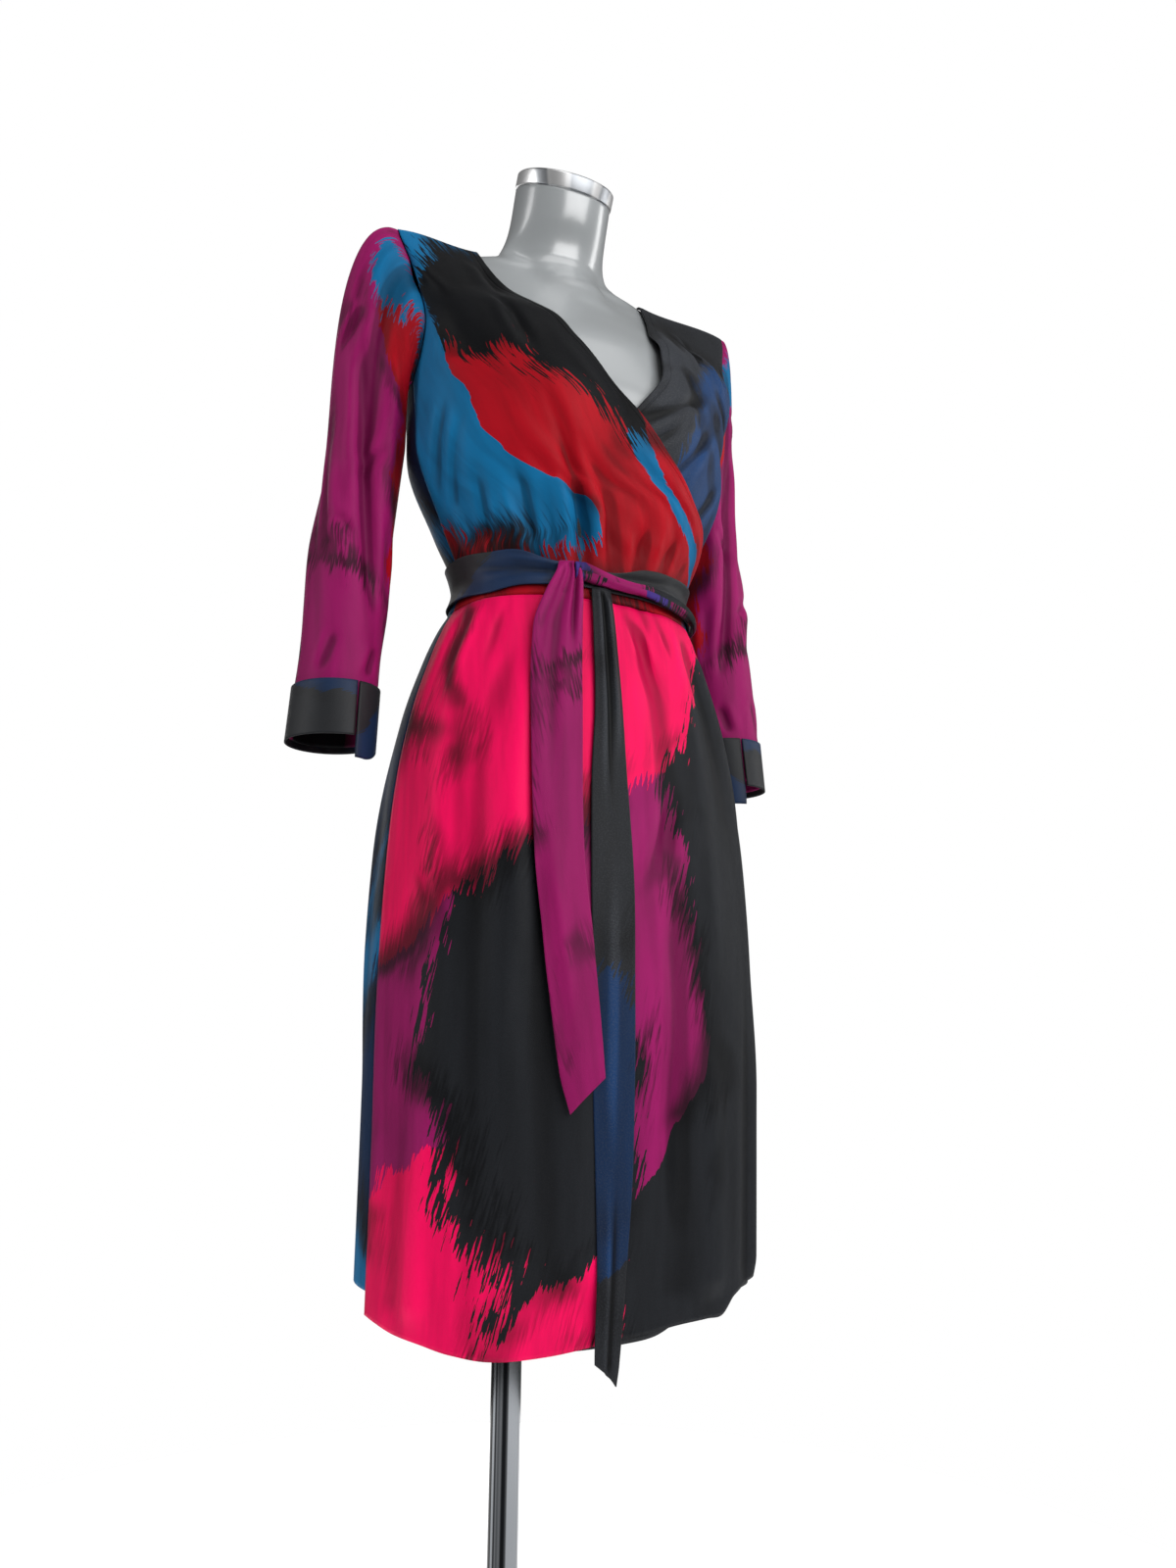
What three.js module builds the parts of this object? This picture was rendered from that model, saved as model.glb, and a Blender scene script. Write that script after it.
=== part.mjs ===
// A knee-length wrap dress of printed jersey, tied with its own belt on a limbless dress form.
// Millimetres, +Z up, the front of the dress towards -Y, the wearer's left towards +X.
// The origin is the middle of the stand's base, where it meets the floor.
// Heights in the tables are measured from the waist, and depths from the side seams.
import * as THREE from "three";

// Driving sizes
const WAIST_HEIGHT = 1050; // waist above the floor
const BODY_FORWARD = 96; // side seams ahead of the pole
const CLOTH = 1.5; // wall of one layer of faced jersey
const SEAM_GAP = 0.3; // between two pieces that are sewn together
const LAYER = 4.2; // from one layer of cloth to the next one over it
const ARMPIT = 196; // bottom of the armhole
const NECK_POINT = 373; // top of the shoulder seam, beside the neck
const NECK_HALF = 100; // the neck point from the middle
const NECKLINE_DROP = 26; // the back neckline below the neck points
const NECK_BACK = 20; // the neck points lie behind the ends of the shoulder seams
const SHOULDER_HALF = 195; // the outer end of the shoulder seam from the middle
const SHOULDER_FALL = 18; // fall of the padded shoulder seam along its length
const BUST = 17; // rise of the front over the bust
const WAIST_SEAM = -29; // the seam under the belt
const BELT_HALF = 20; // half of the belt's width
const SECTION_POWER = 2.3; // 2 is an ellipse, more is squarer
const POLE_RADIUS = 14.5;
const BASE_RADIUS = 180;
const BASE_THICKNESS = 8;

// Outline of the bodice: outer edge, depth of the front and back in the middle and at the outer edge
const BODICE = [
  { z: -29, edge: 122, front: 98, frontEdge: 0, back: 80, backEdge: 0 },
  { z: 0, edge: 115, front: 96, frontEdge: 0, back: 71, backEdge: 0 },
  { z: 60, edge: 139, front: 109, frontEdge: 0, back: 92, backEdge: 0 },
  { z: 120, edge: 164, front: 117, frontEdge: 0, back: 115, backEdge: 0 },
  { z: 165, edge: 169, front: 118, frontEdge: 0, back: 113, backEdge: 0 },
  { z: 196, edge: 172, front: 119, frontEdge: 0, back: 112, backEdge: 0 },
  { z: 218, edge: 173, front: 115, frontEdge: 20, back: 110, backEdge: 26 },
  { z: 250, edge: 174, front: 105, frontEdge: 32, back: 106, backEdge: 50 },
  { z: 290, edge: 178, front: 72, frontEdge: 25, back: 98, backEdge: 55 },
  { z: 325, edge: 185, front: 46, frontEdge: 17, back: 80, backEdge: 47 },
  { z: 348, edge: 191, front: 27, frontEdge: 11, back: 62, backEdge: 33 },
  { z: 362, edge: 194, front: 15, frontEdge: 6, back: 42, backEdge: 19 },
  { z: 370, edge: 195, front: 7, frontEdge: 3, back: 20, backEdge: 8 },
  { z: 373, edge: 195, front: 0, frontEdge: 0, back: 0, backEdge: 0 },
];

// Outline of the skirt
const SKIRT = [
  { z: -680, side: 182, front: 138, back: 142 },
  { z: -520, side: 182, front: 145, back: 142 },
  { z: -400, side: 183, front: 146, back: 141 },
  { z: -290, side: 180, front: 138, back: 138 },
  { z: -200, side: 173, front: 126, back: 131 },
  { z: -130, side: 160, front: 116, back: 120 },
  { z: -75, side: 143, front: 106, back: 104 },
  { z: -45, side: 131, front: 101, back: 90 },
  { z: -29, side: 122, front: 98.5, back: 80 },
];

// Hems of the three panels, against the turn from the middle towards the left side seam
const OUTER_HEM = [
  { turn: -90, z: -657 },
  { turn: -75, z: -662 },
  { turn: -61, z: -666 },
  { turn: -50, z: -672 },
  { turn: -38, z: -676 },
  { turn: -22, z: -673 },
  { turn: -8, z: -667 },
  { turn: 0, z: -664 },
  { turn: 9, z: -660 },
  { turn: 20, z: -659 },
  { turn: 27, z: -659 },
  { turn: 34, z: -646 },
  { turn: 50, z: -640 },
  { turn: 70, z: -638 },
];
const UNDER_HEM = [
  { turn: -60, z: -664 },
  { turn: -20, z: -671 },
  { turn: -4, z: -670 },
  { turn: 4, z: -667 },
  { turn: 12, z: -657 },
  { turn: 26, z: -655 },
  { turn: 38, z: -647 },
  { turn: 59, z: -645 },
  { turn: 90, z: -640 },
];
const BACK_HEM = -638;

// Edge of the outer front, which starts at the right neck point: distance from the middle
const OUTER_EDGE = [
  { z: -29, x: 113 },
  { z: 0, x: 108 },
  { z: 45, x: 118 },
  { z: 72, x: 108 },
  { z: 90, x: 80 },
  { z: 120, x: 42 },
  { z: 158, x: 8 },
  { z: 183, x: -28 },
  { z: 218, x: -55 },
  { z: 243, x: -70 },
  { z: 262, x: -86 },
  { z: 292, x: -97 },
  { z: 335, x: -102 },
  { z: 373, x: -104 },
];

// Edge of the under front, which starts at the left neck point
const UNDER_EDGE = [
  { z: -29, x: -92 },
  { z: 0, x: -88 },
  { z: 100, x: -40 },
  { z: 169, x: 13 },
  { z: 205, x: 38 },
  { z: 242, x: 45 },
  { z: 285, x: 60 },
  { z: 330, x: 83 },
  { z: 373, x: 96 },
];

// Folds: where each lies across its panel, and the heights it runs between; a trough is a minus depth
const OUTER_FRONT_FOLDS = [
  { at: 10 / 22, width: 0.04, top: 130, bottom: -90, depth: 3.5 },
  { at: 12 / 22, width: 0.04, top: 165, bottom: -90, depth: 4 },
  { at: 14 / 22, width: 0.04, top: 120, bottom: -90, depth: 3 },
  { at: 16 / 22, width: 0.045, top: 185, bottom: -90, depth: 3.5 },
  { at: 18 / 22, width: 0.04, top: 150, bottom: -60, depth: 3 },
  { at: 20 / 22, width: 0.045, top: 240, bottom: 0, depth: 4 },
];
const UNDER_FRONT_FOLDS = [
  { at: 5 / 16, width: 0.06, top: 330, bottom: 90, depth: -3 },
  { at: 9 / 16, width: 0.06, top: 260, bottom: 140, depth: -3 },
];
const BACK_FOLDS = [
  { at: -37.5, width: 7.5, top: 170, bottom: -90, depth: -3.5 },
  { at: 37.5, width: 7.5, top: 170, bottom: -90, depth: -3.5 },
  { at: 0, width: 7, top: 110, bottom: -90, depth: 3 },
];
const SKIRT_FRONT_FOLDS = [
  { at: 9.9, width: 5, top: 0, bottom: -600, depth: -6 },
  { at: 24.9, width: 5.5, top: 0, bottom: -400, depth: 3.5 },
  { at: 44.8, width: 6, top: -200, bottom: -720, depth: -4 },
  { at: -44.9, width: 6, top: -70, bottom: -720, depth: -4 },
  { at: 64.8, width: 5, top: -330, bottom: -720, depth: -4 },
];
const SKIRT_BACK_FOLDS = [
  { at: -29.9, width: 8, top: -40, bottom: -720, depth: -6 },
  { at: -5, width: 9, top: -90, bottom: -720, depth: 6 },
  { at: 34.9, width: 8, top: -60, bottom: -720, depth: -6 },
];

// Rings of the sleeves below the armhole: the middle of each ring and its half sizes
const SLEEVE = [
  { z: 140, x: 200, y: 50, across: 38, deep: 43 },
  { z: 70, x: 207, y: 49, across: 38, deep: 43 },
  { z: 0, x: 214, y: 46, across: 38, deep: 43 },
  { z: -60, x: 218, y: 42, across: 38, deep: 43 },
  { z: -110, x: 221, y: 39, across: 38, deep: 43 },
  { z: -175, x: 225, y: 37, across: 39, deep: 44 },
];
const SLEEVE_TWIST = 50; // the folds wind towards the body on their way down
const SLEEVE_FOLDS = [
  { at: 72, width: 13, top: 330, bottom: -60, depth: -9 },
  { at: 90, width: 12, top: 240, bottom: -80, depth: 3 },
  { at: 36, width: 12, top: 345, bottom: 190, depth: -4 },
  { at: 0, width: 14, top: 210, bottom: -20, depth: -3 },
  { at: -72, width: 14, top: 260, bottom: -120, depth: -6 },
];
const CUFF_TOP = -112;
const CUFF_BOTTOM = -164;
const CUFF_LIFT = 2.6;
const VENT = 100; // turn at which the cuff is left open
const VENT_DROP = 20; // the inner end of the cuff hangs lower

// The belt against the turn from the middle of the front: it is gathered narrow at the knot
const BELT = [
  { turn: -180, z: 0, half: 20 },
  { turn: -90, z: 0, half: 20 },
  { turn: -62, z: -5, half: 20 },
  { turn: -45, z: -3, half: 17 },
  { turn: -30, z: -7, half: 12 },
  { turn: -18, z: -8, half: 10 },
  { turn: -2, z: -10, half: 10 },
  { turn: 12, z: -5, half: 15 },
  { turn: 33, z: -4, half: 17 },
  { turn: 64, z: -3, half: 19 },
  { turn: 90, z: 0, half: 20 },
  { turn: 180, z: 0, half: 20 },
];

// The tails of the belt against height: their middle, half width and distance from the skirt
const SHORT_TAIL = [
  { z: 3, x: -49, half: 9, lift: 12 },
  { z: -8, x: -50, half: 11, lift: 17 },
  { z: -25, x: -54, half: 15, lift: 17 },
  { z: -50, x: -60, half: 19.5, lift: 14 },
  { z: -66, x: -62.5, half: 21, lift: 12.5 },
  { z: -124, x: -68, half: 22, lift: 11.5 },
  { z: -270, x: -73.5, half: 20.3, lift: 11.5 },
  { z: -341, x: -69, half: 20.3, lift: 12 },
  { z: -380, x: -66, half: 20, lift: 12 },
  { z: -455, x: -58, half: 18.5, lift: 12.5 },
  { z: -488, x: -52, half: 15.5, lift: 12.5 },
];
const LONG_TAIL = [
  { z: -18.6, x: -19, half: 9.5, lift: 10.1 },
  { z: -55, x: -18.5, half: 11, lift: 10 },
  { z: -134, x: -20.2, half: 13.5, lift: 8 },
  { z: -200, x: -24, half: 17, lift: 7.4 },
  { z: -297, x: -27, half: 20, lift: 7.5 },
  { z: -379, x: -29, half: 19, lift: 8 },
  { z: -459, x: -29.6, half: 18.6, lift: 8.5 },
  { z: -537, x: -28.3, half: 16.4, lift: 9 },
  { z: -613, x: -28.7, half: 12.7, lift: 10 },
  { z: -680, x: -31, half: 10.6, lift: 11 },
  { z: -698, x: -31, half: 8, lift: 11 },
];
const SHORT_TAIL_ENDS = [-488, -459]; // heights of the two corners of the end
const LONG_TAIL_ENDS = [-680, -698];
const TAIL_BULGE = 2; // a tail is this much fuller along its middle

// The twisted strand that crosses the belt from the knot to the left side seam
const STRAND = [
  { turn: -14.5, z: -6, wide: 8 },
  { turn: -5, z: -11, wide: 7 },
  { turn: 2, z: -13, wide: 6.5 },
  { turn: 11.5, z: -13, wide: 6.5 },
  { turn: 23.5, z: -16, wide: 6.5 },
  { turn: 50, z: -19, wide: 6 },
  { turn: 70, z: -19, wide: 5.5 },
  { turn: 88, z: -16, wide: 4.5 },
];
const STRAND_FLATNESS = 0.55;
const KNOT = { x: -46, half: 8, top: -4, bottom: -24, lift: 8.3, depth: 3.1 };

// The dress form: the middle of each ring, its half sizes, and the neck in it, which leans back
// from the middle and is cut off at a tilt
const FORM = [
  { z: -280, middle: 0, side: 150, front: 100, back: 122, neck: 10, lean: 0, tilt: 0 },
  { z: -200, middle: 0, side: 158, front: 108, back: 124, neck: 10, lean: 0, tilt: 0 },
  { z: -120, middle: 0, side: 148, front: 102, back: 109, neck: 10, lean: 0, tilt: 0 },
  { z: -60, middle: 0, side: 128, front: 94, back: 89, neck: 10, lean: 0, tilt: 0 },
  { z: -29, middle: 0, side: 114.5, front: 91, back: 75.5, neck: 10, lean: 0, tilt: 0 },
  { z: 0, middle: 0, side: 108, front: 94.4, back: 68.9, neck: 10, lean: 0, tilt: 0 },
  { z: 60, middle: 0, side: 126, front: 95, back: 88, neck: 10, lean: 0, tilt: 0 },
  { z: 120, middle: 0, side: 140, front: 104, back: 102, neck: 10, lean: 0, tilt: 0 },
  { z: 165, middle: 0, side: 150, front: 108, back: 108, neck: 10, lean: 0, tilt: 0 },
  { z: 200, middle: 0, side: 154, front: 108, back: 107, neck: 15, lean: 0, tilt: 0 },
  { z: 245, middle: 2, side: 160, front: 98, back: 101, neck: 25, lean: 0, tilt: 0 },
  { z: 285, middle: 10, side: 162, front: 74, back: 92, neck: 42, lean: 0, tilt: 0 },
  { z: 320, middle: 18, side: 163, front: 48, back: 76, neck: 52, lean: 0, tilt: 0 },
  { z: 340, middle: 20, side: 160, front: 32, back: 52, neck: 50, lean: 2, tilt: 0 },
  { z: 351, middle: 20, side: 152, front: 23, back: 44, neck: 52, lean: 8, tilt: 0 },
  { z: 360, middle: 20, side: 132, front: 16, back: 32, neck: 53, lean: 15, tilt: 0 },
  { z: 367, middle: 20, side: 108, front: 12, back: 22, neck: 54, lean: 22, tilt: 0 },
  { z: 374, middle: 22, side: 90, front: 12, back: 20, neck: 55, lean: 26, tilt: 0 },
  { z: 383, middle: 28, side: 74, front: 12, back: 24, neck: 56, lean: 24, tilt: 0 },
  { z: 398, middle: 38, side: 60, front: 20, back: 30, neck: 54, lean: 10, tilt: 0 },
  { z: 430, middle: 32, side: 40, front: 30, back: 30, neck: 52, lean: 0, tilt: 8 },
  { z: 470, middle: 18.5, side: 30, front: 30, back: 30, neck: 52, lean: 0, tilt: 24 },
];
const NECK_TILT = 24; // the neck is cut off sloping down to the front
const CAP_HEIGHT = 17;
const CAP_RADIUS = 53.5;

const clamp = (t) => Math.min(1, Math.max(0, t));
const mix = (a, b, t) => a + (b - a) * t;
const ease = (t) => clamp(t) ** 2 * (3 - 2 * clamp(t));
const bell = (distance, width) => Math.exp(-((distance / width) ** 2));
const radians = THREE.MathUtils.degToRad;
const vector = (x, y, z) => new THREE.Vector3(x, y, z);

// The smooth curve of one column of a table against its key
function curve(rows, column, key = "z") {
  const sorted = [...rows].sort((p, q) => p[key] - q[key]);
  const last = sorted.length - 1;
  const slope = (k) => {
    const low = sorted[Math.max(k - 1, 0)];
    const high = sorted[Math.min(k + 1, last)];
    return (high[column] - low[column]) / (high[key] - low[key]);
  };
  return (value) => {
    let k = 0;
    while (k < last - 1 && value > sorted[k + 1][key]) k += 1;
    const span = sorted[k + 1][key] - sorted[k][key];
    const t = clamp((value - sorted[k][key]) / span);
    return (
      mix(sorted[k][column], sorted[k + 1][column], ease(t)) +
      span * (t * (1 - t) ** 2 * slope(k) - t * t * (1 - t) * slope(k + 1))
    );
  };
}

const columns = (rows, names, key = "z") =>
  Object.fromEntries(names.map((name) => [name, curve(rows, name, key)]));
const bodice = columns(BODICE, ["edge", "front", "frontEdge", "back", "backEdge"]);
const skirt = columns(SKIRT, ["side", "front", "back"]);
const outerEdge = curve(OUTER_EDGE, "x");
const underEdge = curve(UNDER_EDGE, "x");

// Superellipse: turn is in degrees, 0 at the middle and 90 at the side seam
function sweep(turn) {
  const shape = (value) => Math.sign(value) * Math.abs(value) ** (2 / SECTION_POWER);
  return { across: shape(Math.sin(radians(turn))), out: shape(Math.cos(radians(turn))) };
}

// The turn at which a section of that half width reaches x
function turnAt(x, half) {
  const share = Math.min(1, Math.abs(x) / half) ** (SECTION_POWER / 2);
  return Math.sign(x) * THREE.MathUtils.radToDeg(Math.asin(share));
}

const bustRise = (x, z) => BUST * bell(z - 150, 62) * (bell(x - 62, 46) + bell(x + 62, 46));

// Share of the way along the shoulder seam, from the neck point to its outer end
const alongShoulder = (x) => (Math.abs(x) - NECK_HALF) / (SHOULDER_HALF - NECK_HALF);

function shoulderShift(x, z) {
  const fall = SHOULDER_FALL * Math.max(0, alongShoulder(x)) * ease((z - ARMPIT) / 177);
  const back = NECK_BACK * ease((z - 230) / 120) * (1 - ease(alongShoulder(x)));
  return vector(0, back, -fall);
}

// A point of the bodice, on its front where facing is -1 and on its back where it is 1
function bodicePoint(turn, z, facing) {
  const { across, out } = sweep(turn);
  const x = bodice.edge(z) * across;
  const [middle, edge] =
    facing < 0
      ? [bodice.front(z) + bustRise(x, z), bodice.frontEdge(z)]
      : [bodice.back(z), bodice.backEdge(z)];
  const depth = mix(Math.max(0, edge), middle, out);
  return vector(x, facing * depth, z).add(shoulderShift(x, z));
}

function skirtPoint(turn, z, facing) {
  const { across, out } = sweep(turn);
  const depth = facing < 0 ? skirt.front(z) : skirt.back(z);
  return vector(skirt.side(z) * across, facing * depth * out, z);
}

// How far the folds of a table raise the cloth; the belt holds them flat
function foldLift(folds, across, z) {
  let lift = 0;
  for (const { at, width, top, bottom, depth } of folds)
    lift += depth * bell(across - at, width) * ease((top - z) / 70) * ease((z - bottom) / 70);
  return lift;
}
const beltHold = (z) => mix(0.25, 1, ease((Math.abs(z) - BELT_HALF - 3) / 36));

// The outward normal of a surface of s and t
function normalAt(surface, s, t, outward) {
  const step = 2e-3;
  const [s0, s1] = [Math.max(0, s - step), Math.min(1, s + step)];
  const [t0, t1] = [Math.max(0, t - step), Math.min(1, t + step)];
  const along = surface(s1, t).sub(surface(s0, t));
  const up = surface(s, t1).sub(surface(s, t0));
  const normal = along.cross(up).normalize();
  return normal.dot(outward(surface(s, t))) < 0 ? normal.negate() : normal;
}

const fromAxis = (point) => vector(point.x, point.y, 40);

// A surface raised off itself by the lift at each s and t; near the waist it is raised level
const raised = (surface, lift) => (s, t) => {
  const point = surface(s, t);
  const normal = normalAt(surface, s, t, fromAxis);
  normal.z *= ease((point.z - 60) / 100);
  return point.addScaledVector(normal.normalize(), lift(s, t));
};

// A closed solid: the surface is its outer face, and the wall lies behind it
function wall(surface, across, up, { outward = fromAxis, thick = CLOTH, ring = false } = {}) {
  const positions = [];
  const index = [];
  const width = ring ? across : across + 1;
  for (const depth of [0, thick])
    for (let j = 0; j <= up; j += 1)
      for (let i = 0; i < width; i += 1) {
        const [s, t] = [i / across, j / up];
        const normal = normalAt(surface, s, t, outward);
        positions.push(...surface(s, t).addScaledVector(normal, -depth).toArray());
      }
  const layer = width * (up + 1);
  const at = (i, j, side) => side * layer + j * width + (i % width);
  const quad = (a, b, c, d) => index.push(a, b, c, a, c, d);
  for (let j = 0; j < up; j += 1)
    for (let i = 0; i < across; i += 1) {
      quad(at(i, j, 0), at(i + 1, j, 0), at(i + 1, j + 1, 0), at(i, j + 1, 0));
      quad(at(i, j, 1), at(i, j + 1, 1), at(i + 1, j + 1, 1), at(i + 1, j, 1));
    }
  for (let i = 0; i < across; i += 1) {
    quad(at(i, 0, 1), at(i + 1, 0, 1), at(i + 1, 0, 0), at(i, 0, 0));
    quad(at(i, up, 0), at(i + 1, up, 0), at(i + 1, up, 1), at(i, up, 1));
  }
  if (!ring)
    for (let j = 0; j < up; j += 1) {
      quad(at(0, j, 1), at(0, j, 0), at(0, j + 1, 0), at(0, j + 1, 1));
      quad(at(across, j, 0), at(across, j, 1), at(across, j + 1, 1), at(across, j + 1, 0));
    }
  return facingOut(positions, index);
}

// Turns the faces round if the solid came out inside out
function facingOut(positions, index) {
  const corner = (k) => vector(0, 0, 0).fromArray(positions, 3 * index[k]);
  let volume = 0;
  for (let k = 0; k < index.length; k += 3)
    volume += corner(k).dot(corner(k + 1).cross(corner(k + 2)));
  if (volume < 0)
    for (let k = 0; k < index.length; k += 3)
      [index[k + 1], index[k + 2]] = [index[k + 2], index[k + 1]];
  return new THREE.BufferGeometry()
    .setAttribute("position", new THREE.Float32BufferAttribute(positions, 3))
    .setIndex(index);
}

// A closed solid through rings of points, closed by a flat face at each end
function loft(ringAt, around, levels) {
  const positions = [];
  const index = [];
  for (const level of levels)
    for (let i = 0; i < around; i += 1)
      positions.push(...ringAt((360 * i) / around, level).toArray());
  const last = levels.length - 1;
  for (let j = 0; j < last; j += 1)
    for (let i = 0; i < around; i += 1) {
      const [a, b] = [j * around + i, j * around + ((i + 1) % around)];
      index.push(a, b, b + around, a, b + around, a + around);
    }
  for (let i = 1; i < around - 1; i += 1) {
    index.push(0, i + 1, i);
    index.push(last * around, last * around + i, last * around + i + 1);
  }
  return facingOut(positions, index);
}

const steps = (count) => Array.from({ length: count + 1 }, (_, k) => k / count);

const material = (color, roughness, metalness = 0) =>
  new THREE.MeshStandardMaterial({ color, roughness, metalness });
const CHARCOAL = material("#26282d", 0.75);
const CRIMSON = material("#7d0714", 0.75);
const MAGENTA = material("#8c1557", 0.75);
const HOT_PINK = material("#d4064f", 0.75);
const NAVY = material("#0a2138", 0.75);
const VIOLET = material("#3d2b6b", 0.75);
const FORM_GREY = material("#8d9294", 0.3);
const CHROME = material("#c9ccd0", 0.15, 1);

const garment = new THREE.Group();
garment.position.set(0, -BODY_FORWARD, WAIST_HEIGHT);
const stand = new THREE.Group();

function add(group, name, geometry, finish) {
  const mesh = new THREE.Mesh(geometry, finish);
  mesh.name = name;
  group.add(mesh);
}

// The panels stop this many degrees short of the side seams
const SEAM_TURN = 0.06;
const SIDE = 90 - SEAM_TURN;
const RIDGE_GAP = 0.8; // each side of the top of the shoulder seam

// The outer front lies one layer over the under front, and comes down to its own side seam
const wrapLift = (turn, z = 0) => LAYER * ease((turn + 84) / 24) * ease((300 - z) / 90);

// Bodice: rows lie closer together towards the shoulder
const bodiceRise = (t, top = NECK_POINT) =>
  mix(WAIST_SEAM + SEAM_GAP, top, 1 - (1 - t) ** 1.4);

function bodiceFront(edgeOf, side, lift, folds) {
  const place = (s, t) => {
    const z = bodiceRise(t);
    return { z, turn: mix(side * SIDE, turnAt(edgeOf(z), bodice.edge(z)), s) };
  };
  const base = (s, t) => {
    const { z, turn } = place(s, t);
    const point = bodicePoint(turn, z, -1);
    point.y -= RIDGE_GAP * ease((z - 300) / 70) + foldLift(folds, s, z) * beltHold(z);
    return point;
  };
  return raised(base, (s, t) => lift(place(s, t).turn, place(s, t).z));
}

const outerFront = bodiceFront(outerEdge, -1, wrapLift, OUTER_FRONT_FOLDS);
add(garment, "bodice_front_right", wall(outerFront, 22, 20), CRIMSON);
const underFront = bodiceFront(underEdge, 1, () => 0, UNDER_FRONT_FOLDS);
add(garment, "bodice_front_left", wall(underFront, 16, 17), CHARCOAL);

// The back is one piece, with a shallow neckline between the neck points
function bodiceBack(s, t) {
  const turn = mix(-SIDE, SIDE, s);
  const aside = Math.abs(sweep(turn).across) * SHOULDER_HALF;
  const top = NECK_POINT - NECKLINE_DROP * ease((NECK_HALF + 6 - aside) / 60);
  const z = bodiceRise(t, top);
  const point = bodicePoint(turn, z, 1);
  point.y += RIDGE_GAP * ease((z - 300) / 70) + foldLift(BACK_FOLDS, turn, z) * beltHold(z);
  return point;
}
add(garment, "bodice_back", wall(bodiceBack, 24, 17), CHARCOAL);

// Skirt: both fronts share their columns, so that they nest where they overlap
const SKIRT_COLUMNS = 36;
const columnTurn = (k) => mix(-SIDE, SIDE, k / SKIRT_COLUMNS);
function skirtPanel({ from, to, rows, facing, lift, folds, hem }) {
  const [first, last] = [columnTurn(from), columnTurn(to)];
  const base = (s, t) => {
    const turn = mix(first, last, s);
    const z = mix(hem(turn), WAIST_SEAM - SEAM_GAP, t);
    const point = skirtPoint(turn, z, facing);
    point.y += facing * foldLift(folds, turn, z) * sweep(turn).out;
    return point;
  };
  const surface = raised(base, (s) => lift(mix(first, last, s)));
  return wall(surface, to - from, rows);
}

const outerSkirt = {
  from: 0,
  to: 32,
  rows: 11,
  facing: -1,
  lift: wrapLift,
  folds: SKIRT_FRONT_FOLDS,
  hem: curve(OUTER_HEM, "z", "turn"),
};
const underSkirt = {
  from: 6,
  to: SKIRT_COLUMNS,
  rows: 11,
  facing: -1,
  lift: () => 0,
  folds: SKIRT_FRONT_FOLDS,
  hem: curve(UNDER_HEM, "z", "turn"),
};
const backSkirt = {
  from: 0,
  to: SKIRT_COLUMNS,
  rows: 8,
  facing: 1,
  lift: () => 0,
  folds: SKIRT_BACK_FOLDS,
  hem: () => BACK_HEM,
};
add(garment, "skirt_front_right", skirtPanel(outerSkirt), HOT_PINK);
add(garment, "skirt_front_left", skirtPanel(underSkirt), CHARCOAL);
add(garment, "skirt_back", skirtPanel(backSkirt), CHARCOAL);

// Sleeves are worked out on the right: a turn of 0 is the outer side and 90 the front
const HEAD_ROWS = 8;
const SLEEVE_ROWS = 20;
const SLEEVE_HEAD = SLEEVE[0].z;
const SLEEVE_START = 0.8; // from the armhole to the start of the sleeve

function armholePoint(turn) {
  const z = mix(ARMPIT, NECK_POINT, (1 + Math.cos(radians(turn))) / 2);
  return bodicePoint(-90, z, Math.sin(radians(turn)) >= 0 ? -1 : 1);
}

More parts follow.
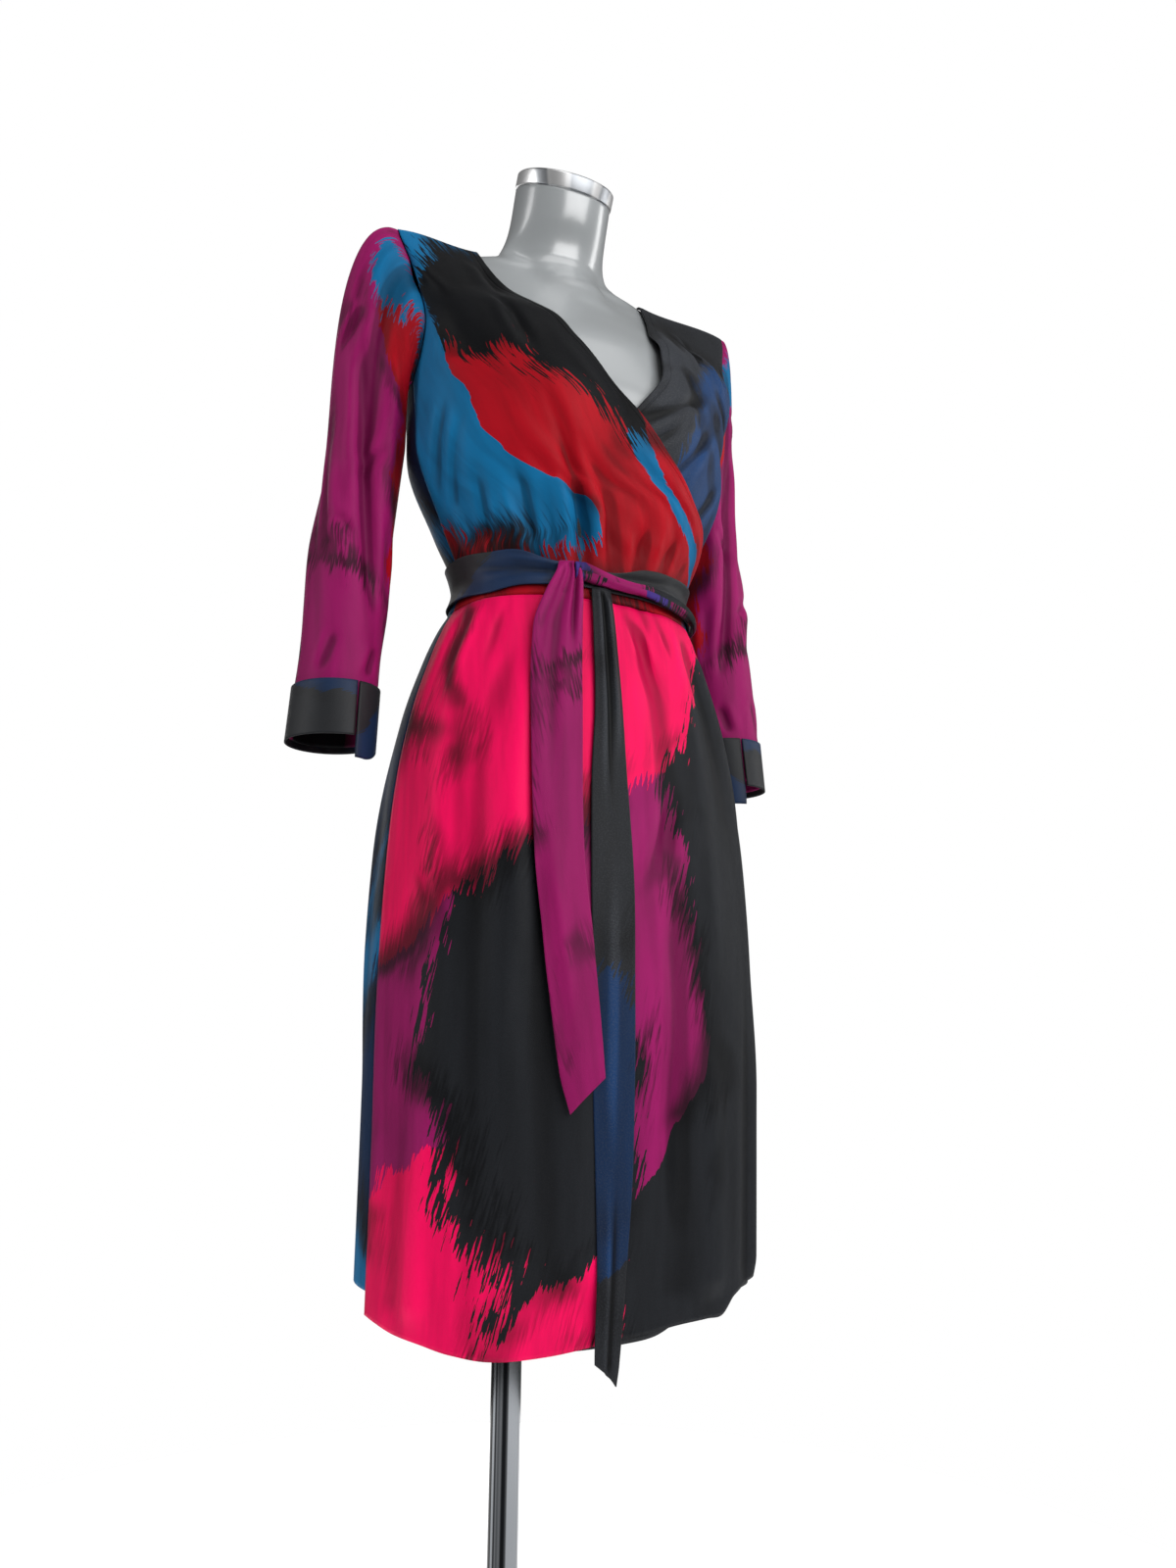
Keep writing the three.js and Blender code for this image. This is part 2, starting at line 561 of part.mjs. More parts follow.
function addSleeve(name, sign, fullness) {
  const ring = columns(SLEEVE, ["x", "y", "across", "deep"]);
  const middle = (z) => vector(-ring.x(z), ring.y(z), z);
  const ringPoint = (turn, z) =>
    middle(z).add(
      vector(
        -ring.across(z) * Math.cos(radians(turn)),
        -ring.deep(z) * Math.sin(radians(turn)),
        0,
      ),
    );
  const outward = (point) => point.clone().sub(middle(Math.min(point.z, SLEEVE_HEAD + 90)));
  const level = (point) => outward(point).setZ(0).normalize();

  // From the armhole to the first ring, leaving the shoulder sideways
  const head = (turn, t) => {
    const top = (1 + Math.cos(radians(turn))) / 2;
    const leave = vector(-0.9, -0.25 * Math.sin(radians(turn)), -0.35 * (1 - top));
    const start = armholePoint(turn).addScaledVector(leave, SLEEVE_START);
    const end = ringPoint(turn, SLEEVE_HEAD);
    const reach = start.distanceTo(end);
    return start
      .lerp(end, ease(t))
      .addScaledVector(leave, t * (1 - t) ** 2 * reach * (0.45 + fullness * top))
      .addScaledVector(vector(-0.06, 0, -1), -t * t * (1 - t) * reach);
  };
  const share = HEAD_ROWS / SLEEVE_ROWS;
  const sleeve = (s, t) => {
    const turn = 360 * s - 180;
    const below = mix(SLEEVE_HEAD, CUFF_BOTTOM + 6, (t - share) / (1 - share));
    const twist = SLEEVE_TWIST * ease((t - share) / 0.45);
    const point = t < share ? head(turn, t / share) : ringPoint(turn + twist, below);
    const lift = foldLift(SLEEVE_FOLDS, turn, point.z);
    return point.addScaledVector(level(point), lift);
  };

  // The cuff is open at the vent, where its inner end hangs lower and stands away
  const cuff = (s, t) => {
    const turn = VENT + mix(4, 356, s);
    const z = mix(CUFF_BOTTOM - VENT_DROP * ease((0.24 - s) / 0.2), CUFF_TOP, t);
    const point = ringPoint(turn, z);
    const flare = 3 * (1 - t) * (bell(s, 0.06) + bell(1 - s, 0.06));
    return point.addScaledVector(level(point), CUFF_LIFT + flare);
  };

  const onSide = (surface) => (s, t) => {
    const point = surface(s, t);
    return point.setX(sign * point.x);
  };
  const away = (point) => {
    const direction = outward(point.clone().setX(sign * point.x));
    return direction.setX(sign * direction.x);
  };
  const options = { outward: away, ring: true };
  add(garment, `sleeve_${name}`, wall(onSide(sleeve), 20, SLEEVE_ROWS, options), MAGENTA);
  add(garment, `cuff_${name}`, wall(onSide(cuff), 20, 2, { outward: away }), NAVY);
}
addSleeve("right", 1, 0.45);
addSleeve("left", -1, -0.1);

// Belt: a band round the waist, over the overlap of the fronts
const beltLift = (turn) => LAYER + 3.8 * ease((turn + 95) / 30) * ease((100 - turn) / 30);
function waistPoint(turn, z) {
  if (Math.abs(turn) <= 90) return bodicePoint(turn, z, -1);
  return bodicePoint(Math.sign(turn) * (180 - Math.abs(turn)), z, 1);
}
const band = columns(BELT, ["z", "half"], "turn");
function beltBase(s, t) {
  const turn = 360 * s - 180;
  return waistPoint(turn, band.z(turn) + band.half(turn) * (2 * t - 1));
}
const belt = raised(beltBase, (s) => beltLift(360 * s - 180));
add(garment, "belt_band", wall(belt, 48, 2, { ring: true }), NAVY);

// A point in front of the dress at x and z, with its distance from the cloth's own outline
function inFront(x, z, lift) {
  const point =
    z > WAIST_SEAM
      ? bodicePoint(turnAt(x, bodice.edge(z)), z, -1)
      : skirtPoint(turnAt(x, skirt.side(z)), z, -1);
  return point.add(vector(x * 0.004 * lift, -lift, 0));
}

// Tails: each hangs from the knot, and its end is cut at a slant
function tail(rows, top, ends) {
  const shape = columns(rows, ["x", "half", "lift"]);
  return (s, t) => {
    const z = mix(mix(ends[0], ends[1], s), top, t);
    const aside = 2 * s - 1;
    const bulge = TAIL_BULGE * (1 - aside ** 2);
    return inFront(shape.x(z) + shape.half(z) * aside, z, shape.lift(z) + bulge);
  };
}
const shortTail = tail(SHORT_TAIL, SHORT_TAIL[0].z, SHORT_TAIL_ENDS);
add(garment, "tail_short", wall(shortTail, 4, 16), MAGENTA);
const longTail = tail(LONG_TAIL, LONG_TAIL[0].z, LONG_TAIL_ENDS);
add(garment, "tail_long", wall(longTail, 4, 16), CHARCOAL);

// Strand: a twisted roll along the belt, with a groove that winds round it
const strandPath = columns(STRAND, ["z", "wide"], "turn");
function strandRing(around, share) {
  const turn = mix(STRAND[0].turn, STRAND.at(-1).turn, share);
  const wide = strandPath.wide(turn) * (1 - 0.14 * Math.cos(radians(2 * around + 900 * share)));
  const flat = STRAND_FLATNESS * wide;
  const middle = beltLift(turn) + 1.05 + STRAND_FLATNESS * strandPath.wide(turn) * 1.14;
  const z = strandPath.z(turn);
  const out = waistPoint(turn + 1, z).sub(waistPoint(turn - 1, z)).cross(vector(0, 0, 1));
  return waistPoint(turn, z)
    .addScaledVector(out.normalize(), middle + flat * Math.cos(radians(around)))
    .add(vector(0, 0, wide * Math.sin(radians(around))));
}
add(garment, "belt_strand", loft(strandRing, 10, steps(16)), VIOLET);

// Knot: a bundle that wraps over the belt from top to bottom
function knotRing(around, share) {
  const rise = Math.sin(Math.PI * mix(0.1, 0.9, share));
  const half = KNOT.half * mix(0.75, 1, rise);
  const x = KNOT.x + half * Math.sin(radians(around));
  const z = mix(KNOT.bottom, KNOT.top, share) + 3 * Math.sin(radians(around));
  const depth = KNOT.depth * rise;
  return inFront(x, z, KNOT.lift + depth + depth * Math.cos(radians(around)));
}
add(garment, "belt_knot", loft(knotRing, 10, steps(8)), NAVY);

// Dress form: each ring is an ellipse that swells into the round neck
const formRow = columns(FORM, ["middle", "side", "front", "back", "neck", "lean", "tilt"]);
const NECK_BLEND = 6;
function formRing(turn, z) {
  const direction = [Math.sin(radians(turn)), -Math.cos(radians(turn))];
  const deep = direction[1] < 0 ? formRow.front(z) : formRow.back(z);
  const torso = 1 / Math.hypot(direction[0] / formRow.side(z), direction[1] / deep);
  const lean = formRow.lean(z) * direction[1];
  const neck = lean + Math.sqrt(formRow.neck(z) ** 2 - formRow.lean(z) ** 2 + lean ** 2);
  const reach = (torso ** NECK_BLEND + neck ** NECK_BLEND) ** (1 / NECK_BLEND);
  const tilt = radians(formRow.tilt(z));
  const [x, y] = direction.map((part) => part * reach);
  const bust = y < 0 ? 0.8 * bustRise(x, z) * (-y / reach) : 0;
  return vector(x, formRow.middle(z) + y * Math.cos(tilt) - bust, z + y * Math.sin(tilt));
}
const formLevels = FORM.map((row) => row.z);
add(garment, "form_torso", loft(formRing, 40, formLevels), FORM_GREY);

// Neck cap: a short metal drum on the sloping top of the neck
function capRing(turn, [radius, height]) {
  const tilt = radians(NECK_TILT);
  const [x, back] = [radius * Math.sin(radians(turn)), -radius * Math.cos(radians(turn))];
  const top = FORM.at(-1);
  return vector(
    x,
    top.middle + back * Math.cos(tilt) - height * Math.sin(tilt),
    top.z + back * Math.sin(tilt) + height * Math.cos(tilt),
  );
}
const capLevels = [
  [CAP_RADIUS - 1, SEAM_GAP],
  [CAP_RADIUS, SEAM_GAP + 1],
  [CAP_RADIUS, CAP_HEIGHT - 1.5],
  [CAP_RADIUS - 1.5, CAP_HEIGHT],
];
add(garment, "neck_cap", loft(capRing, 40, capLevels), CHROME);

// Stand: a flange under the torso, a pole and a round base plate
const disc = (turn, [radius, z]) =>
  vector(radius * Math.sin(radians(turn)), -radius * Math.cos(radians(turn)), z);
const TORSO_BOTTOM = WAIST_HEIGHT + FORM[0].z;
const flangeLevels = [
  [21, TORSO_BOTTOM - 8],
  [25, TORSO_BOTTOM - 6],
  [25, TORSO_BOTTOM - SEAM_GAP],
];
add(stand, "stand_flange", loft(disc, 32, flangeLevels), CHROME);
const poleLevels = [
  [POLE_RADIUS, BASE_THICKNESS + 22 + SEAM_GAP],
  [POLE_RADIUS, TORSO_BOTTOM - 8 - SEAM_GAP],
];
add(stand, "stand_pole", loft(disc, 32, poleLevels), CHROME);
const collarLevels = [
  [26, BASE_THICKNESS + SEAM_GAP],
  [26, BASE_THICKNESS + 14],
  [19, BASE_THICKNESS + 22],
];
add(stand, "stand_collar", loft(disc, 32, collarLevels), CHROME);
const baseLevels = [
  [BASE_RADIUS - 2, 0],
  [BASE_RADIUS, 2],
  [BASE_RADIUS, BASE_THICKNESS - 3],
  [BASE_RADIUS - 4, BASE_THICKNESS],
];
add(stand, "stand_base", loft(disc, 48, baseLevels), CHROME);

export default new THREE.Group().add(garment, stand);
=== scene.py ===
"""Dresses the CAD frame of a printed wrap dress on its dress form.

Every cloth piece is a thin shell on the outer face of the solid of the same name. Its surface
is worked out from the garment's own tables in millimetres, with heights from the waist and
depths from the side seams, and carries finer creases that are listed one by one.
"""

import logging
import math
from collections.abc import Callable, Sequence
from dataclasses import dataclass
from enum import Enum
from typing import Any, NamedTuple

import bmesh
import bpy
import numpy as np
from mathutils import Matrix, Vector


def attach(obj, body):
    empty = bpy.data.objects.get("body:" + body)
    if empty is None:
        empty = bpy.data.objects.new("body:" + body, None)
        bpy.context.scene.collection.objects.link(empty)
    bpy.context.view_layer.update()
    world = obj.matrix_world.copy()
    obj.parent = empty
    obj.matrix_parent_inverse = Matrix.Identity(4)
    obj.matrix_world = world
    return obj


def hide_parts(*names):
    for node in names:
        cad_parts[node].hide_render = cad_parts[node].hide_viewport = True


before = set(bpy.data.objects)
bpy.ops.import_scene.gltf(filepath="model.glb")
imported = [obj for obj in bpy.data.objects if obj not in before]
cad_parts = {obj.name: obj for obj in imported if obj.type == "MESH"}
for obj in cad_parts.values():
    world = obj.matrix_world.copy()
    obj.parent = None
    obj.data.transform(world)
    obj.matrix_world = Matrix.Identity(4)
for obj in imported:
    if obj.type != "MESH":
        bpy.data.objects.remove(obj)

LOG = logging.getLogger("wrap_dress")
Array = np.ndarray
Surface = Callable[[Array, Array], Array]
Colour = tuple[float, float, float]

MM = 0.001  # a millimetre in metres

# Driving sizes that several pieces share, in millimetres
WAIST_HEIGHT = 1050.0
BODY_FORWARD = 96.0
CLOTH = 1.5
SEAM_GAP = 0.3
LAYER = 4.2
ARMPIT = 196.0
NECK_POINT = 373.0
NECK_HALF = 100.0
SHOULDER_HALF = 195.0
WAIST_SEAM = -29.0
BELT_HALF = 20.0
RIDGE_GAP = 0.8
GIRTH = 2.3  # of cloth for each degree of turn on the bodice and skirt
SLEEVE_GIRTH = 0.75  # the same on the sleeves
TAIL_GIRTH = 20.0  # of cloth in the half width of a tail

SIDE = 90.0  # degrees from the middle to a side seam
FRONT, BACK = -1, 1
SOFTENING = 60  # rounds of smoothing against which a hollow is measured

# Bump and fleck of the jersey: fineness per metre, the rest in metres
HEATHER_FINENESS = 700.0
KNIT_FINENESS = 1400.0
RIPPLE_FINENESS = 24.0
BUMP_UNIT = 0.0009
STITCH_INSET = 0.008
STITCH_EDGE = (0.0004, 0.0016)
# Hollow at which the painted crease shade and ridge highlight begin
FOLD_SHADE_START = 0.00004


class BodiceRow(NamedTuple):
    """Half width and depths of the bodice at one height."""

    z: float
    edge: float
    front: float
    front_edge: float
    back: float
    back_edge: float


BODICE = (
    BodiceRow(-29, 122, 98, 0, 80, 0),
    BodiceRow(0, 115, 96, 0, 71, 0),
    BodiceRow(60, 139, 109, 0, 92, 0),
    BodiceRow(120, 164, 117, 0, 115, 0),
    BodiceRow(165, 169, 118, 0, 113, 0),
    BodiceRow(196, 172, 119, 0, 112, 0),
    BodiceRow(218, 173, 115, 20, 110, 26),
    BodiceRow(250, 174, 105, 32, 106, 50),
    BodiceRow(290, 178, 72, 25, 98, 55),
    BodiceRow(325, 185, 46, 17, 80, 47),
    BodiceRow(348, 191, 27, 11, 62, 33),
    BodiceRow(362, 194, 15, 6, 42, 19),
    BodiceRow(370, 195, 7, 3, 20, 8),
    BodiceRow(373, 195, 0, 0, 0, 0),
)


class SkirtRow(NamedTuple):
    """Half width and depths of the skirt at one height."""

    z: float
    side: float
    front: float
    back: float


SKIRT = (
    SkirtRow(-680, 182, 138, 142),
    SkirtRow(-520, 182, 145, 142),
    SkirtRow(-400, 183, 146, 141),
    SkirtRow(-290, 180, 138, 138),
    SkirtRow(-200, 173, 126, 131),
    SkirtRow(-130, 160, 116, 120),
    SkirtRow(-75, 143, 106, 104),
    SkirtRow(-45, 131, 101, 90),
    SkirtRow(-29, 122, 98.5, 80),
)


class HemRow(NamedTuple):
    """Height of a hem at one turn."""

    turn: float
    z: float


OUTER_HEM = (
    HemRow(-90, -657),
    HemRow(-75, -662),
    HemRow(-61, -666),
    HemRow(-50, -672),
    HemRow(-38, -676),
    HemRow(-22, -673),
    HemRow(-8, -667),
    HemRow(0, -664),
    HemRow(9, -660),
    HemRow(20, -659),
    HemRow(27, -659),
    HemRow(34, -646),
    HemRow(50, -640),
    HemRow(70, -638),
)
UNDER_HEM = (
    HemRow(-60, -664),
    HemRow(-20, -671),
    HemRow(-4, -670),
    HemRow(4, -667),
    HemRow(12, -657),
    HemRow(26, -655),
    HemRow(38, -647),
    HemRow(59, -645),
    HemRow(90, -640),
)


class EdgeRow(NamedTuple):
    """Distance of a neckline edge from the middle at one height."""

    z: float
    x: float


OUTER_EDGE = (
    EdgeRow(-29, 113),
    EdgeRow(0, 108),
    EdgeRow(45, 118),
    EdgeRow(72, 108),
    EdgeRow(90, 80),
    EdgeRow(120, 42),
    EdgeRow(158, 8),
    EdgeRow(183, -28),
    EdgeRow(218, -55),
    EdgeRow(243, -70),
    EdgeRow(262, -86),
    EdgeRow(292, -97),
    EdgeRow(335, -102),
    EdgeRow(373, -104),
)
UNDER_EDGE = (
    EdgeRow(-29, -92),
    EdgeRow(0, -88),
    EdgeRow(100, -40),
    EdgeRow(169, 13),
    EdgeRow(205, 38),
    EdgeRow(242, 45),
    EdgeRow(285, 60),
    EdgeRow(330, 83),
    EdgeRow(373, 96),
)


class Fold(NamedTuple):
    """A long upright fold: where it lies, the heights it runs between and its depth."""

    at: float
    width: float
    top: float
    bottom: float
    depth: float


OUTER_FRONT_FOLDS = (
    Fold(10 / 22, 0.04, 130, -90, 3.5),
    Fold(12 / 22, 0.04, 165, -90, 4),
    Fold(14 / 22, 0.04, 120, -90, 3),
    Fold(16 / 22, 0.045, 185, -90, 3.5),
    Fold(18 / 22, 0.04, 150, -60, 3),
    Fold(20 / 22, 0.045, 240, 0, 4),
)
UNDER_FRONT_FOLDS = (Fold(5 / 16, 0.06, 330, 90, -3), Fold(9 / 16, 0.06, 260, 140, -3))
BACK_FOLDS = (
    Fold(-37.5, 7.5, 170, -90, -3.5),
    Fold(37.5, 7.5, 170, -90, -3.5),
    Fold(0, 7, 110, -90, 3),
)
SKIRT_FRONT_FOLDS = (
    Fold(9.9, 5, 0, -600, -6),
    Fold(24.9, 5.5, 0, -400, 3.5),
    Fold(44.8, 6, -200, -720, -4),
    Fold(-44.9, 6, -70, -720, -4),
    Fold(64.8, 5, -330, -720, -4),
)
SKIRT_BACK_FOLDS = (
    Fold(-29.9, 8, -40, -720, -6),
    Fold(-5, 9, -90, -720, 6),
    Fold(34.9, 8, -60, -720, -6),
)
SLEEVE_FOLDS = (
    Fold(72, 13, 330, -60, -9),
    Fold(90, 12, 240, -80, 3),
    Fold(36, 12, 345, 190, -4),
    Fold(0, 14, 210, -20, -3),
    Fold(-72, 14, 260, -120, -6),
)


class SleeveRow(NamedTuple):
    """Middle and half sizes of the sleeve at one height."""

    z: float
    x: float
    y: float
    across: float
    deep: float


SLEEVE = (
    SleeveRow(140, 200, 50, 38, 43),
    SleeveRow(70, 207, 49, 38, 43),
    SleeveRow(0, 214, 46, 38, 43),
    SleeveRow(-60, 218, 42, 38, 43),
    SleeveRow(-110, 221, 39, 38, 43),
    SleeveRow(-175, 225, 37, 39, 44),
)


class BeltRow(NamedTuple):
    """Middle height and half width of the belt at one turn."""

    turn: float
    z: float
    half: float


BELT = (
    BeltRow(-180, 0, 20),
    BeltRow(-90, 0, 20),
    BeltRow(-62, -5, 20),
    BeltRow(-45, -3, 17),
    BeltRow(-30, -7, 12),
    BeltRow(-18, -8, 10),
    BeltRow(-2, -10, 10),
    BeltRow(12, -5, 15),
    BeltRow(33, -4, 17),
    BeltRow(64, -3, 19),
    BeltRow(90, 0, 20),
    BeltRow(180, 0, 20),
)


class TailRow(NamedTuple):
    """Middle, half width and lift of a tail of the belt at one height."""

    z: float
    x: float
    half: float
    lift: float


SHORT_TAIL = (
    TailRow(3, -49, 9, 12),
    TailRow(-8, -50, 11, 17),
    TailRow(-25, -54, 15, 17),
    TailRow(-50, -60, 19.5, 14),
    TailRow(-66, -62.5, 21, 12.5),
    TailRow(-124, -68, 22, 11.5),
    TailRow(-270, -73.5, 20.3, 11.5),
    TailRow(-341, -69, 20.3, 12),
    TailRow(-380, -66, 20, 12),
    TailRow(-455, -58, 18.5, 12.5),
    TailRow(-488, -52, 15.5, 12.5),
)
LONG_TAIL = (
    TailRow(-18.6, -19, 9.5, 10.1),
    TailRow(-55, -18.5, 11, 10),
    TailRow(-134, -20.2, 13.5, 8),
    TailRow(-200, -24, 17, 7.4),
    TailRow(-297, -27, 20, 7.5),
    TailRow(-379, -29, 19, 8),
    TailRow(-459, -29.6, 18.6, 8.5),
    TailRow(-537, -28.3, 16.4, 9),
    TailRow(-613, -28.7, 12.7, 10),
    TailRow(-680, -31, 10.6, 11),
    TailRow(-698, -31, 8, 11),
)
SHORT_TAIL_ENDS = (-488.0, -459.0)
LONG_TAIL_ENDS = (-680.0, -698.0)


class StrandRow(NamedTuple):
    """Height and half width of the twisted strand at one turn."""

    turn: float
    z: float
    wide: float


STRAND = (
    StrandRow(-14.5, -6, 8),
    StrandRow(-5, -11, 7),
    StrandRow(2, -13, 6.5),
    StrandRow(11.5, -13, 6.5),
    StrandRow(23.5, -16, 6.5),
    StrandRow(50, -19, 6),
    StrandRow(70, -19, 5.5),
    StrandRow(88, -16, 4.5),
)


class FormRow(NamedTuple):
    """One ring of the dress form: its middle, half sizes, and the neck in it."""

    z: float
    middle: float
    side: float
    front: float
    back: float
    neck: float
    lean: float
    tilt: float


FORM = (
    FormRow(-280, 0, 150, 100, 122, 10, 0, 0),
    FormRow(-200, 0, 158, 108, 124, 10, 0, 0),
    FormRow(-120, 0, 148, 102, 109, 10, 0, 0),
    FormRow(-60, 0, 128, 94, 89, 10, 0, 0),
    FormRow(-29, 0, 114.5, 91, 75.5, 10, 0, 0),
    FormRow(0, 0, 108, 94.4, 68.9, 10, 0, 0),
    FormRow(60, 0, 126, 95, 88, 10, 0, 0),
    FormRow(120, 0, 140, 104, 102, 10, 0, 0),
    FormRow(165, 0, 150, 108, 108, 10, 0, 0),
    FormRow(200, 0, 154, 108, 107, 15, 0, 0),
    FormRow(245, 2, 160, 98, 101, 25, 0, 0),
    FormRow(285, 10, 162, 74, 92, 42, 0, 0),
    FormRow(320, 18, 163, 48, 76, 52, 0, 0),
    FormRow(340, 20, 160, 32, 52, 50, 2, 0),
    FormRow(351, 20, 152, 23, 44, 52, 8, 0),
    FormRow(360, 20, 132, 16, 32, 53, 15, 0),
    FormRow(367, 20, 108, 12, 22, 54, 22, 0),
    FormRow(374, 22, 90, 12, 20, 55, 26, 0),
    FormRow(383, 28, 74, 12, 24, 56, 24, 0),
    FormRow(398, 38, 60, 20, 30, 54, 10, 0),
    FormRow(430, 32, 40, 30, 30, 52, 0, 8),
    FormRow(470, 18.5, 30, 30, 30, 52, 0, 24),
)


def clamp(t: Array) -> Array:
    """Returns t held between 0 and 1."""
    return np.clip(t, 0.0, 1.0)


def mix(a: Any, b: Any, t: Array) -> Array:
    """Returns the value that lies the share t of the way from a to b."""
    return a + (b - a) * t


def ease(t: Array) -> Array:
    """Returns t held between 0 and 1, leaving and arriving gently."""
    return clamp(t) ** 2 * (3.0 - 2.0 * clamp(t))


def bell(distance: Array, width: float) -> Array:
    """Returns a soft bump, 1 in the middle and small beyond its width."""
    return np.exp(-((distance / width) ** 2))


def points(x: Any, y: Any, z: Any) -> Array:
    """Returns rows of x, y and z from numbers or arrays."""
    return np.stack(np.broadcast_arrays(x, y, z), axis=-1).astype(float)


class Profile:
    """The smooth curve of one column of a table against its first column."""

    def __init__(self, rows: Sequence[NamedTuple], column: str) -> None:
        """Works out the slope at each row.

        Args:
            rows: The table.
            column: The name of the column that the curve follows.
        """
        ordered = sorted(rows, key=lambda row: row[0])
        self.keys = np.array([row[0] for row in ordered], float)
        self.values = np.array([getattr(row, column) for row in ordered], float)
        low = np.maximum(np.arange(len(ordered)) - 1, 0)
        high = np.minimum(np.arange(len(ordered)) + 1, len(ordered) - 1)
        self.slopes = (self.values[high] - self.values[low]) / (self.keys[high] - self.keys[low])

    def __call__(self, key: Any) -> Array:
        """Reads the curve.

        Args:
            key: A place along the curve, or many.

        Returns:
            The value at each place, held at both ends.
        """
        key = np.asarray(key, float)
        k = np.clip(np.searchsorted(self.keys, key, side="left") - 1, 0, len(self.keys) - 2)
        span = self.keys[k + 1] - self.keys[k]
        t = clamp((key - self.keys[k]) / span)
        bend = t * (1 - t) ** 2 * self.slopes[k] - t * t * (1 - t) * self.slopes[k + 1]
        return mix(self.values[k], self.values[k + 1], ease(t)) + span * bend


@dataclass(frozen=True)
class Crease:
    """A soft trough or ridge along a bowed line between two places on a piece.

    start and end are (turn in degrees, height in mm); a trough has a minus depth. The lip is
    the share of the depth that rises again on one side, and fade the shares of the length
    over which the crease runs out at its two ends.
    """

    start: tuple[float, float]
    end: tuple[float, float]
    depth: float
    width: float = 8.0
    bow: float = 0.0
    lip: float = 0.45
    fade: tuple[float, float] = (0.35, 0.45)

    def lift(self, turn: Array, z: Array, girth: float) -> Array:
        """Works out how far the crease raises the cloth.

        Args:
            turn: Turns of the places, in degrees.
            z: Heights of the places, in mm.
            girth: Millimetres of cloth for each degree.

        Returns:
            The lift at each place, in mm.
        """
        line = np.array([(self.end[0] - self.start[0]) * girth, self.end[1] - self.start[1]])
        length = float(np.hypot(*line))
        du, dz = (turn - self.start[0]) * girth, z - self.start[1]
        along = (du * line[0] + dz * line[1]) / length**2
        aside = (du * line[1] - dz * line[0]) / length - self.bow * 4 * along * (1 - along)
        run = ease(along / self.fade[0]) * ease((1 - along) / self.fade[1])
        rise = bell(aside, self.width) - self.lip * bell(aside - 1.7 * self.width, 1.2 * self.width)
        return self.depth * rise * run


def creases_lift(
    creases: Sequence[Crease], turn: Array, z: Array, girth: float = GIRTH
) -> Array:
    """Adds up the lift of several creases.

    Args:
        creases: The creases of one piece.
        turn: Turns of the places, in degrees.
        z: Heights of the places, in mm.
        girth: Millimetres of cloth for each degree.

    Returns:
        The lift at each place, in mm.
    """
    lift = np.zeros(np.broadcast(turn, z).shape)
    for crease in creases:
        lift = lift + crease.lift(turn, z, girth)
    return lift


def folds_lift(folds: Sequence[Fold], across: Array, z: Array) -> Array:
    """Adds up the lift of the long upright folds.

    Args:
        folds: The folds of one piece.
        across: Where each place lies across the piece.
        z: Heights of the places, in mm.

    Returns:
        The lift at each place, in mm.
    """
    lift = np.zeros(np.broadcast(across, z).shape)
    for fold in folds:
        run = ease((fold.top - z) / 70) * ease((z - fold.bottom) / 70)
        lift = lift + fold.depth * bell(across - fold.at, fold.width) * run
    return lift


def belt_hold(z: Array) -> Array:
    """Returns the share of a fold's depth that the belt leaves at each height."""
    return mix(0.25, 1.0, ease((np.abs(z) - BELT_HALF - 3) / 36))


def from_axis(point: Array) -> Array:
    """Returns the directions away from the upright axis of the dress."""
    return points(point[..., 0], point[..., 1], 40.0)


def unit(direction: Array) -> Array:
    """Returns the directions at length 1."""
    return direction / np.maximum(np.linalg.norm(direction, axis=-1, keepdims=True), 1e-9)


def normal_at(surface: Surface, s: Array, t: Array, outward: Callable[[Array], Array]) -> Array:
    """Works out the outward normals of a surface.

    Args:
        surface: The surface.
        s: Shares across it.
        t: Shares up it.
        outward: Gives rough outward directions at points.

    Returns:
        Unit normals.
    """
    step = 2e-3
    s0, s1 = np.maximum(0, s - step), np.minimum(1, s + step)
    t0, t1 = np.maximum(0, t - step), np.minimum(1, t + step)
    along = surface(s1, t) - surface(s0, t)
    up = surface(s, t1) - surface(s, t0)
    normal = unit(np.cross(along, up))
    turned = np.sum(normal * outward(surface(s, t)), axis=-1, keepdims=True) < 0
    return np.where(turned, -normal, normal)


def raised(surface: Surface, lift: Surface) -> Surface:
    """Raises a surface off itself; near the waist it is raised level.

    Args:
        surface: The surface.
        lift: Gives the distance at each s and t, in mm.

    Returns:
        The raised surface.
    """

    def place(s: Array, t: Array) -> Array:
        """Returns points on the raised surface."""
        point = surface(s, t)
        normal = normal_at(surface, s, t, from_axis)
        normal[..., 2] *= ease((point[..., 2] - 60) / 100)
        return point + unit(normal) * np.asarray(lift(s, t))[..., None]

    return place


